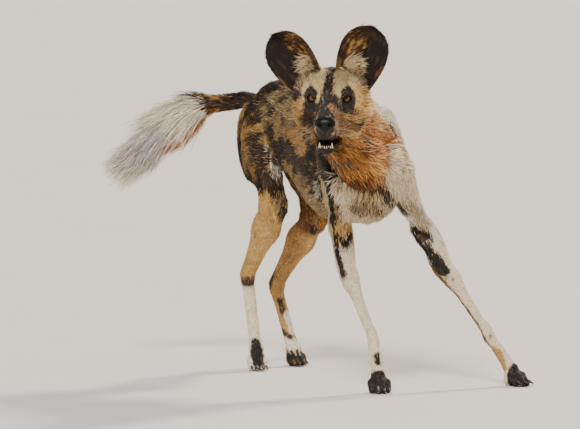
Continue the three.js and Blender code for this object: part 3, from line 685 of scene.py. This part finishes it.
def rootsOn(thing, spacing, seed):
    # roots spread evenly over a skin: place, normal and place on its unwrap
    rng = np.random.default_rng(seed)
    mesh = thing.data
    mesh.calc_loop_triangles()
    count = len(mesh.loop_triangles)
    corner = np.empty(count * 3, np.int32)
    mesh.loop_triangles.foreach_get("vertices", corner)
    loop = np.empty(count * 3, np.int32)
    mesh.loop_triangles.foreach_get("loops", loop)
    corner, loop = corner.reshape(-1, 3), loop.reshape(-1, 3)
    points, normals = pointsOf(mesh), normalsOf(mesh)
    unwrap = np.empty(len(mesh.loops) * 2)
    mesh.uv_layers["OFBake"].data.foreach_get("uv", unwrap)
    unwrap = unwrap.reshape(-1, 2)
    a, b, c = (points[corner[:, i]] for i in range(3))
    area = np.linalg.norm(np.cross(b - a, c - a), axis=1) / 2
    area = area * (pulls((a + b + c) / 3) @ lineNumbers[:, 5])
    reach = np.cumsum(area)
    number = int(reach[-1] / spacing**2)
    ticks = (np.arange(number) + rng.random(number)) / number * reach[-1]
    face = np.minimum(np.searchsorted(reach, ticks), count - 1)
    u, v = rng.random(number), rng.random(number)
    over = u + v > 1
    u[over], v[over] = 1 - u[over], 1 - v[over]
    share = np.stack([1 - u - v, u, v], 1)[:, :, None]
    place = (points[corner[face]] * share).sum(1)
    normal = (normals[corner[face]] * share).sum(1)
    normal /= np.linalg.norm(normal, axis=1)[:, None]
    return place, normal, (unwrap[loop[face]] * share).sum(1)


def tuftMesh(
    name, place, normal, lie, length, width, lift, sway, colour, spot, rings=3, sink=0.8, rootShade=0.66
):
    # every tuft is a thin three-sided blade that leaves the skin and bends back along it
    count = len(place)
    flat = lie - (lie * normal).sum(1)[:, None] * normal
    flat /= np.linalg.norm(flat, axis=1)[:, None] + 1e-9
    across = np.cross(normal, flat)
    steps = np.linspace(0, 1, rings)
    points, shades, patch = [], [], []
    for i, t in enumerate(steps):
        rise = lift * (t - 0.5 * t * t) * 2 * length
        middle = (
            place
            - normal * sink
            + flat * (length * t)[:, None]
            + normal * rise[:, None]
            + across * (sway * length * t * t)[:, None]
        )
        if i == rings - 1:
            points.append(middle[:, None])
            shades.append(np.full((count, 1), t))
            patch.append(np.tile([[0.5, 1]], (count, 1, 1)))
        else:
            half = (width / 2 * (0.75 + 0.9 * t) * (1 - t) ** 0.55)[:, None]
            crest = middle + normal * half * 0.55
            points.append(np.stack([middle - across * half, crest, middle + across * half], 1))
            shades.append(np.full((count, 3), t))
            patch.append(np.tile([[0, t], [0.5, t], [1, t]], (count, 1, 1)))
    points = np.concatenate(points, 1)
    per = points.shape[1]
    shades = np.concatenate(shades, 1)
    patch = np.concatenate(patch, 1)
    faces = []
    for i in range(rings - 2):
        for k in range(3):
            n = (k + 1) % 3
            faces.append([3 * i + n, 3 * i + k, 3 * i + 3 + k, 3 * i + 3 + n])
    last = 3 * (rings - 2)
    for k in range(3):
        faces.append([last + (k + 1) % 3, last + k, per - 1])
    faces.append([0, 1, 2])
    order = np.array([corner for face in faces for corner in face])
    sizes = np.array([len(face) for face in faces])
    base = np.arange(count)[:, None] * per
    corners = (base + order).ravel()
    totals = np.tile(sizes, count)
    mesh = bpy.data.meshes.new(name)
    mesh.vertices.add(count * per)
    points = points.reshape(-1, 3)
    points[:, 2] = np.maximum(points[:, 2], 0.4)
    mesh.vertices.foreach_set("co", ((points + movedRow) / 1000).ravel())
    mesh.loops.add(len(corners))
    mesh.loops.foreach_set("vertex_index", corners)
    mesh.polygons.add(len(totals))
    mesh.polygons.foreach_set("loop_start", np.concatenate([[0], np.cumsum(totals)[:-1]]))
    mesh.polygons.foreach_set("use_smooth", np.ones(len(totals), bool))
    mesh.update(calc_edges=True)
    # painted shade and painted highlight: each tuft's colour is darkened at its root, where the coat
    # shades it, and brightened to 1.12 at its tip, where the light falls
    tint = colour[:, None, :] * (rootShade + (1.12 - rootShade) * shades)[:, :, None]
    layer = mesh.attributes.new("coat", "FLOAT_COLOR", "POINT")
    tint = np.concatenate([tint, np.ones((count, per, 1))], 2)
    layer.data.foreach_set("color", tint.ravel())
    where = (spot[:, None, :] + (patch - 0.5) * 0.003).reshape(-1, 2)
    unwrap = mesh.uv_layers.new(name="OFBake")
    unwrap.data.foreach_set("uv", where[corners].ravel())
    mesh.materials.append(hairPaint)
    thing = bpy.data.objects.new(name, mesh)
    bpy.context.scene.collection.objects.link(thing)
    return thing


# the last number of each is the painted shade at the roots of the tufts: the share of their colour that
# is left there
coatSizes = {"spacing": 3.0, "wander": 0.35, "jitter": 0.13, "shade": 0.22, "sway": 0.14, "rootShade": 0.66}
plumeSizes = {"droop": 0.22, "width": 0.62, "sway": 0.6, "past": 13, "rootShade": 0.86}
place, normal, spot = rootsOn(skin, coatSizes["spacing"], 11)
pull = pulls(place)
strongest = np.argmax(pull, 1)
rng = np.random.default_rng(5)
number = len(place)


def linesNamed(*starts):
    # the tufts on which a lie line of such a name pulls most
    return np.isin(strongest, [i for i, name in enumerate(lieLines) if name.startswith(starts)])


lineWay = lineEnd - lineStart
lineWay = lineWay / np.linalg.norm(lineWay, axis=1)[:, None]
lie = pull @ lineWay
wander = np.stack([jag(place, 40, seed) for seed in (21, 22, 23)], 1)
lie = lie + wander * coatSizes["wander"] + rng.normal(0, coatSizes["jitter"], (number, 3))
length = pull @ lineNumbers[:, 1] * rng.uniform(0.75, 1.15, number)
width = pull @ lineNumbers[:, 2] * rng.uniform(0.8, 1.2, number)
lift = pull @ lineNumbers[:, 3] * rng.uniform(0.6, 1.3, number)
sway = rng.normal(0, coatSizes["sway"], number)
# markings are drawn by the tips: a tuft takes its tone from a little back along its own lie,
# and a few stray far over the border of their patch
flatLie = lie / np.linalg.norm(lie, axis=1)[:, None]
inPlume = linesNamed("plume")
lie[inPlume, 2] -= plumeSizes["droop"]
stray = np.where((rng.random(number) < 0.8) | inPlume, 1.1, np.clip(length * 0.4, 2, 9))[:, None]
trail = length * rng.uniform(0, 0.75, number) * np.where(inPlume, 0.15, 1)
shifted = place - flatLie * trail[:, None] + rng.normal(0, 1, (number, 3)) * stray
colour = coatTone(shifted, pull)
colour *= rng.uniform(1 - coatSizes["shade"], 1 + coatSizes["shade"], number)[:, None]
colour *= rng.uniform(0.95, 1.05, (number, 3))
width[inPlume] *= plumeSizes["width"]
sway[inPlume] *= plumeSizes["sway"]

# hair keeps clear of the eyes, the nose and the inside of the mouth, and is short round them
local = inHead(place)
turned = normal @ headRows
bare = insideMouth(local, turned)
eyeHair = {"behind": -4, "bare": 9.5, "edge": 10, "fade": 16, "near": 34, "lift": 0.14}
for sign in (1, -1):
    # how far ahead of the eye's middle a tuft stands, and how far beside the line it looks along
    apart = local - mirrored(eyePlace["at"], sign)
    outward = np.array(mirrored(eyePlace["axis"], sign))
    outward /= np.linalg.norm(outward)
    ahead = apart @ outward
    ring = np.linalg.norm(apart - ahead[:, None] * outward, axis=1)
    near = (ahead > eyeHair["behind"]) & (ring < eyeHair["near"])
    bare |= (ahead > eyeHair["behind"]) & (ring < eyeHair["bare"])
    length[near] = np.minimum(length[near], 2.2 + np.clip(ring[near] - eyeHair["edge"], 0, 40) * 0.3)
    lift[near] = np.minimum(lift[near], eyeHair["lift"])
    away = (apart - ahead[:, None] * outward) @ headRows.T
    away /= np.linalg.norm(away, axis=1)[:, None] + 1e-9
    share = np.clip(1 - (ring - eyeHair["edge"]) / eyeHair["fade"], 0, 1)[:, None] * near[:, None]
    lie = lie * (1 - share) + away * share
noseHair = {"at": (0, -94, -44), "shape": (1, 1, 0.8), "reach": 66}
nearNose = np.linalg.norm((local - noseHair["at"]) / noseHair["shape"], axis=1)
byNose = nearNose < noseHair["reach"]
length[byNose] = np.minimum(length[byNose], 1.6 + np.clip(nearNose[byNose] - 21, 0, 60) * 0.12)

# the throat's hair is short where it would stick out beside the jaw
length[linesNamed("throat") & (local[:, 0] < -6)] *= 0.6

# the hair of the plume ends just past the tips of its locks
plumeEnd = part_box("tail_plume")[0][0] * 1000 - moved[0] - plumeSizes["past"]
level = lie - (lie * normal).sum(1)[:, None] * normal
level /= np.linalg.norm(level, axis=1)[:, None] + 1e-9
forward = level[:, 0] + normal[:, 0] * lift
past = inPlume & (place[:, 0] + forward * length < plumeEnd)
length[past] *= np.clip((plumeEnd - place[past, 0]) / (forward[past] * length[past]), 0.25, 1)

soles = place[:, 2] > 3.5
furred = ~bare
coatPieces = {
    "coat_head": (linesNamed("muzzle", "forehead", "cheek", "jaw") & furred, 3),
    "coat_neck": (linesNamed("nape", "neckRight") & furred, 3),
    "coat_throat": (linesNamed("neckLeft", "throat") & furred, 4),
    "coat_back": (linesNamed("withers", "back"), 3),
    "coat_flanks": (linesNamed("flank"), 3),
    "coat_chest": (linesNamed("chest", "belly"), 3),
    "coat_rump": (linesNamed("rump", "thigh"), 3),
    "coat_shoulders": (linesNamed("shoulder"), 3),
    "coat_forelegs": (linesNamed("forearm", "wrist", "forepaw") & soles, 3),
    "coat_hindlegs": (linesNamed("shank", "hock", "hindpaw") & soles, 3),
    "coat_tail_root": (linesNamed("tail"), 3),
    "tail_plume_hair": (linesNamed("plume"), 5),
}
coat = []
for name, (here, rings) in coatPieces.items():
    piece = tuftMesh(
        name, place[here], normal[here], lie[here], length[here], width[here], lift[here],
        sway[here], colour[here], spot[here], rings,
        rootShade=plumeSizes["rootShade"] if name == "tail_plume_hair" else coatSizes["rootShade"],
    )
    coat.append(piece)
    print(name, int(here.sum()), "tufts")


earPlace = {
    "left": {"at": (43, 32, 20), "spin": (-0.16, 0.31, 0.1)},
    "right": {"at": (-43, 32, 20), "spin": (-0.16, -0.66, -0.3)},
}
earSizes = {"height": 134, "width": 106, "spacing": 2.4}


def earTurn(side):
    x, y, z = earPlace[side]["spin"]
    lean = headTurn @ Matrix.Rotation(y, 3, "Y") @ Matrix.Rotation(x, 3, "X")
    return lean @ Matrix.Rotation(z, 3, "Z")


def inEar(points, side):
    turn = np.array(earTurn(side))
    return (points - np.array(onHead(*earPlace[side]["at"]))) @ turn


def earTone(points, normals, side):
    local = inEar(points, side)
    facing = normals @ np.array(earTurn(side))
    inner = 1 if side == "right" else -1
    across = local[:, 0] * inner / earSizes["width"] * 2
    up = local[:, 2] / earSizes["height"]
    ragged = jag(points, 16, 31) * 0.6 + jag(points, 6, 32) * 0.5
    cup = facing[:, 1] < -0.15
    colour = np.tile(tones["umber"], (len(points), 1))
    colour[ragged > 0.45] = np.array(tones["brown"]) * 0.7
    colour[(up + ragged * 0.1 < 0.25)] = tones["greyTan"]
    brown = cup & (across + ragged * 0.55 > 0.12)
    colour[cup] = tone(34, 24, 19)
    colour[brown] = np.array(tones["brown"]) * 0.8
    strand = jag(local * (1, 1, 0.22), 3.2, 33)
    colour[brown & (strand > 0.22)] = tones["tan"]
    colour[brown & ((strand < -0.12) | (ragged > 0.3))] = tones["umber"]
    colour[cup & ~brown & (strand > 0.4)] = tones["umber"]
    lobe = cup & (across + ragged * 0.25 < -0.86) & (up < 0.45)
    colour[lobe] = np.array(tones["brown"]) * np.where(strand[lobe] > 0, 0.8, 0.45)[:, None]
    colour[brown & (up + ragged * 0.2 > 0.78)] = tones["umber"]
    rim = cup & ((np.abs(across) > 0.93) | (up > 0.95))
    colour[rim] = tones["black"]
    return colour, cup, across, up


earPieces = []
for side in ("left", "right"):
    ear = copiesOf(["ear_" + side], "ear_skin_" + side)
    applied(ear, "SUBSURF", levels=2, render_levels=2)
    smoothed(ear)
    unwrapped(ear)
    points, normals = pointsOf(ear.data), normalsOf(ear.data)
    shade, cup, across, up = earTone(points, normals, side)
    # the ear's skin takes its tones darkened to 0.8: painted shade under its hair
    paint(ear, "coat", shade * 0.8)
    ear.data.materials.append(skinPaint)
    earPieces.append(ear)
    root, facing, mark = rootsOn(ear, earSizes["spacing"], 40)
    shade, cup, across, up = earTone(root, facing, side)
    total = len(root)
    rng = np.random.default_rng(41)
    turn = np.array(earTurn(side))
    outward = -1 if side == "right" else 1
    lieHere = np.tile(turn @ np.array([0.25 * outward, 0, 1.0]), (total, 1))
    cream = cup & (((across - 0.3) / 0.34) ** 2 + ((up - 0.3) / 0.17) ** 2 < 1)
    lieHere[cream] = turn @ np.array([outward * 1.0, -0.5, 0.25])
    brow = cup & (across > 0.05) & ~cream
    lieHere[brow] = turn @ np.array([outward * 0.8, -0.2, 0.7])
    reach = np.where(brow, 14.0, 6.0)
    reach = np.where(cream, 26, reach) * rng.uniform(0.6, 1.2, total)
    shade = shade * rng.uniform(0.8, 1.2, total)[:, None]
    pick = cream & (rng.random(total) < 0.75)
    shade[pick] = np.array(tones["cream"]) * rng.uniform(0.8, 1.05, pick.sum())[:, None]
    lieHere = lieHere + rng.normal(0, 0.2, (total, 3))
    tufts = tuftMesh(
        "coat_ear_" + side, root, facing, lieHere, reach,
        np.where(cream, 1.5, 1.2), np.where(cream, 0.26, 0.15),
        rng.normal(0, 0.15, total), shade, mark, rings=3, sink=0.4,
    )
    coat.append(tufts)
    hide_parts("ear_" + side)
print("ears done")


eyeSizes = {"radius": 11.3, "opening": (48, 30), "tilt": 12, "hairSpacing": 1.25}
camPlace = {"azimuth": -21, "elevation": 3.7, "distance": 12, "target": (-90, 0, 360), "lens": 346.3}


def eyeFinish(kit):
    angle = kit.node("ShaderNodeAttribute", {"attribute_name": "fromGaze"}, out=2)
    fibre = kit.noise(900.0, 2.0)
    ringed = angle + (fibre - 0.5) * 0.06
    ramp = kit.node(
        "ShaderNodeValToRGB",
        {
            "stops": [
                (0.0, tone(6, 5, 5)),
                (0.23, tone(8, 6, 5)),
                (0.27, tone(84, 44, 20)),
                (0.45, tone(128, 74, 30)),
                (0.58, tone(56, 30, 15)),
                (0.64, tone(18, 12, 10)),
                (0.8, tone(60, 44, 36)),
            ]
        },
        {0: ringed},
    )
    return {"Base Color": ramp}


eyePaint = newFinish(
    "eye", eyeFinish, Roughness=0.12, Coat_Weight=0.35, Coat_Roughness=0.02, Specular_IOR_Level=0.3
)


lidGrain = grained(300.0, 3.0, tone(14, 12, 12), tone(36, 31, 30), 0.3, 0.0005)
lidPaint = newFinish("lid", lidGrain, Roughness=0.55, Specular_IOR_Level=0.3)


def noseFinish(kit):
    place = kit.node("ShaderNodeTexCoord", out=3)
    pebbles = kit.node("ShaderNodeTexVoronoi", {}, {"Vector": place, "Scale": 620.0})
    fine = kit.noise(160.0, 3.0)
    colour = fine.blend((*tone(3, 3, 4), 1), (*tone(9, 9, 11), 1))
    rough = fine * 0.16 + 0.22
    return {"Base Color": colour, "Normal": pebbles.relief(0.45, 0.0006), "Roughness": rough}


nosePaint = newFinish("nose", noseFinish, Coat_Weight=0.05, Coat_Roughness=0.2, Specular_IOR_Level=0.22)
clawGrain = grained(240.0, 3.0, tone(26, 22, 20), tone(78, 68, 60), 0.2, 0.0004)
clawPaint = newFinish("claw", clawGrain, Roughness=0.38)

azimuth, elevation = (math.radians(camPlace[name]) for name in ("azimuth", "elevation"))
levelShare = math.cos(elevation)
towardsCamera = Vector(
    (math.sin(azimuth) * levelShare, -math.cos(azimuth) * levelShare, math.sin(elevation))
)


def lidMesh(name, centre, axis, sign):
    # the lids are a ring over the eyeball, from an almond-shaped opening out to under the fur,
    # with the inner corner drawn out and lower
    sideways = headTurn @ Vector((sign, 0, 0))
    sideways = (sideways - axis * sideways.dot(axis)).normalized()
    upward = axis.cross(sideways) * sign * -1
    if upward.z < 0:
        upward = -upward
    tilt = math.radians(eyeSizes["tilt"])
    outer = sideways * math.cos(tilt) + upward * math.sin(tilt)
    above = upward * math.cos(tilt) - sideways * math.sin(tilt)
    wide, tall = eyeSizes["opening"]
    bands = [(0.0, 0.25), (0.0, 0.7), (0.06, 1.0), (0.2, 1.25), (0.45, 1.3), (0.75, 0.9), (1.0, 0.4)]
    verts, faces, around = [], [], 48
    for share, height in bands:
        for k in range(around):
            turn = 2 * math.pi * k / around
            x, y = math.cos(turn), math.sin(turn)
            opening = 1 / math.sqrt((x / wide) ** 2 + (y / tall) ** 2)
            opening *= 1 - 0.1 * abs(math.sin(2 * turn)) + 0.34 * max(0, -x) ** 6
            reach = math.radians(opening + (86 - opening) * share)
            outwards = axis * math.cos(reach) + (outer * x + above * y) * math.sin(reach)
            verts.append(metres(Vector(centre) + outwards * (eyeSizes["radius"] + height)))
    for i in range(len(bands)):
        j = (i + 1) % len(bands)
        for k in range(around):
            n = (k + 1) % around
            faces.append((i * around + k, i * around + n, j * around + n, j * around + k))
    mesh = bpy.data.meshes.new(name)
    mesh.from_pydata(verts, [], faces)
    thing = bpy.data.objects.new(name, mesh)
    bpy.context.scene.collection.objects.link(thing)
    onWhole(thing, bpy.ops.mesh.normals_make_consistent, inside=False)
    unwrapped(thing)
    smoothed(thing)
    thing.data.materials.append(lidPaint)
    return thing


def lidHair(name, lid, centre, axis):
    # short black hair on the lids, all but their bare wet edge
    root, facing, mark = rootsOn(lid, eyeSizes["hairSpacing"], 60)
    apart = root - np.array(centre)
    ahead = apart @ np.array(axis)
    ring = np.linalg.norm(apart - ahead[:, None] * np.array(axis), axis=1)
    grown = (ring > 8.8) & ((facing * apart).sum(1) > 6)
    root, facing, mark, apart, ahead = (one[grown] for one in (root, facing, mark, apart, ahead))
    total = len(root)
    rng = np.random.default_rng(61)
    lieHere = apart - ahead[:, None] * np.array(axis) + rng.normal(0, 2, (total, 3))
    shade = np.array(tones["black"]) * rng.uniform(0.6, 1.5, total)[:, None]
    return tuftMesh(
        name, root, facing, lieHere, rng.uniform(1.6, 2.8, total),
        np.full(total, 0.55), np.full(total, 0.16), rng.normal(0, 0.12, total),
        shade, mark, rings=3, sink=0.2,
    )


facePieces = []
for side, sign in (("left", 1), ("right", -1)):
    centre = Vector(onHead(*mirrored(eyePlace["at"], sign)))
    gaze = (towardsCamera + headTurn @ Vector((0.12 * sign, 0, 0))).normalized()
    bpy.ops.object.select_all(action="DESELECT")
    bpy.ops.mesh.primitive_uv_sphere_add(
        segments=48, ring_count=32, radius=eyeSizes["radius"] / 1000, location=metres(centre)
    )
    eye = bpy.context.object
    eye.name = "eyeball_" + side
    bpy.ops.object.transform_apply(location=True, rotation=True, scale=True)
    bpy.ops.object.shade_smooth()
    spots = pointsOf(eye.data)
    apart = np.arccos(np.clip((spots - np.array(centre)) @ np.array(gaze) / eyeSizes["radius"], -1, 1))
    spots += np.array(gaze) * (np.clip(0.62 - apart, 0, 1) ** 2 * 3.2)[:, None]
    eye.data.vertices.foreach_set("co", ((spots + movedRow) / 1000).ravel())
    mark = eye.data.attributes.new("fromGaze", "FLOAT", "POINT")
    mark.data.foreach_set("value", apart)
    eye.data.materials.append(eyePaint)
    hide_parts("eye_" + side)
    axis = (headTurn @ Vector(mirrored(eyePlace["axis"], sign))).normalized()
    lid = lidMesh("lids_" + side, centre, axis, sign)
    facePieces += [eye, lid, lidHair("coat_lids_" + side, lid, centre, axis)]

nosePlace = {"at": (0, -88, -46), "swell": (1.13, 1.04, 1.12)}
nosePad = copiesOf(["nose"], "nose_pad")
applied(nosePad, "SUBSURF", levels=2, render_levels=2)
smoothed(nosePad)
spots = (inHead(pointsOf(nosePad.data)) - nosePlace["at"]) * nosePlace["swell"] + nosePlace["at"]
spots = spots @ headRows.T + np.array(headPlace["at"])
nosePad.data.vertices.foreach_set("co", ((spots + movedRow) / 1000).ravel())
nosePad.data.materials.append(nosePaint)
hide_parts("nose")
facePieces.append(nosePad)

toothRows = {  # place along the head's own x and y, radius and height of each lower tooth
    "fangs": ((13, -74, 2.6, 8), (-13, -74, 2.6, 8)),
    "front": tuple((s * x, -80 + x * 0.3, 1.8, 1.4) for x in (2.1, 6, 9.6) for s in (1, -1)),
}
toothGrain = grained(220.0, 2.0, tone(196, 172, 128), tone(236, 224, 196))
enamel = newFinish("enamel", toothGrain, Roughness=0.28)
teeth = []
for row in toothRows.values():
    for x, y, radius, height in row:
        bpy.ops.object.select_all(action="DESELECT")
        bpy.ops.mesh.primitive_cone_add(
            vertices=12, radius1=radius / 1000, radius2=radius / 5000, depth=(height + 4) / 1000,
            location=metres(onHead(x, y, -93 + height / 2)), rotation=headTurn.to_euler(),
        )
        teeth.append(bpy.context.object)
teeth = joined(teeth, "teeth")
bpy.ops.object.transform_apply(location=True, rotation=True, scale=True)
bpy.ops.object.shade_smooth()
teeth.data.materials.append(enamel)
facePieces.append(teeth)

# whiskers stand in three rows on each side of the muzzle
whiskerSpots = []
for sign in (1, -1):
    for row in range(3):
        for step in range(3):
            whiskerSpots.append((sign * (20 + 2 * row), -80 + 10 * step + 3 * row, -54 - 6 * row))
nearest = np.array([np.argmin(np.linalg.norm(local - one, axis=1)) for one in whiskerSpots])
rng = np.random.default_rng(70)
total = len(nearest)
lieHere = np.array([(0.5 * np.sign(x), 0.6, -0.75) for x, y, z in whiskerSpots]) @ headRows.T
whiskers = tuftMesh(
    "whiskers", place[nearest], normal[nearest], lieHere + rng.normal(0, 0.12, (total, 3)),
    rng.uniform(30, 50, total), np.full(total, 0.6),
    rng.uniform(0.6, 1.1, total), rng.normal(0, 0.1, total),
    np.tile(tones["cream"], (total, 1)) * rng.uniform(0.5, 1, total)[:, None], spot[nearest], rings=6,
)
facePieces.append(whiskers)

for name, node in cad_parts.items():
    if name.startswith("claw"):
        for holder in node.material_slots:
            holder.material = clawPaint
print("eyes, nose and claws done")

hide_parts("neck", "tail_plume", *fleshNodes, *headNodes)
for piece in [skin, *coat, *earPieces, *facePieces]:
    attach(piece, "root")

floorPaint = newFinish("floor", grained(3.0, 2.0, (0.74, 0.74, 0.74), (0.79, 0.79, 0.79)), Roughness=0.8)
bpy.ops.object.select_all(action="DESELECT")
bpy.ops.mesh.primitive_circle_add(vertices=96, radius=70, fill_type="NOTHING", location=(0, 0, 0))
floor = bpy.context.object
floor.name = "floor"
bpy.ops.object.mode_set(mode="EDIT")
bpy.ops.mesh.select_all(action="SELECT")
bpy.ops.mesh.extrude_region_move(TRANSFORM_OT_translate={"value": (0, 0, 6)})
bpy.ops.transform.resize(value=(1.3, 1.3, 1))
bpy.ops.object.mode_set(mode="OBJECT")
ring = bmesh.new()
ring.from_mesh(floor.data)
inner = [edge for edge in ring.edges if all(abs(corner.co.z) < 0.001 for corner in edge.verts)]
bmesh.ops.contextual_create(ring, geom=inner)
bmesh.ops.recalc_face_normals(ring, faces=ring.faces)
ring.to_mesh(floor.data)
ring.free()
floor.data.materials.append(floorPaint)

lights = {
    "key": {"from": (-0.5, -0.75, 0.85), "strength": 2.9, "spread": 14, "colour": (1, 0.95, 0.87)},
    "rim": {"from": (0.85, 0.5, 0.62), "strength": 3.6, "spread": 8, "colour": (1, 0.85, 0.64)},
}
for name, light in lights.items():
    bpy.ops.object.light_add(type="SUN", location=(0, 0, 5))
    lamp = bpy.context.object
    lamp.name = name
    lamp.data.energy = light["strength"]
    lamp.data.angle = math.radians(light["spread"])
    lamp.data.color = light["colour"]
    lamp.rotation_euler = Vector(light["from"]).to_track_quat("Z", "Y").to_euler()
world = bpy.data.worlds.new("studio")
world.use_nodes = True
world.node_tree.nodes["Background"].inputs[0].default_value = (1, 0.95, 0.88, 1)
world.node_tree.nodes["Background"].inputs[1].default_value = 0.55
bpy.context.scene.world = world

cameraAt = Vector(camPlace["target"]) + towardsCamera * camPlace["distance"] * 1000
bpy.ops.object.camera_add(location=metres(cameraAt))
camera = bpy.context.object
camera.name = "camera"
camera.rotation_euler = (-towardsCamera).to_track_quat("-Z", "Y").to_euler()
camera.data.lens = camPlace["lens"]
camera.data.sensor_width = 36
camera.data.clip_end = 200
bpy.context.scene.camera = camera
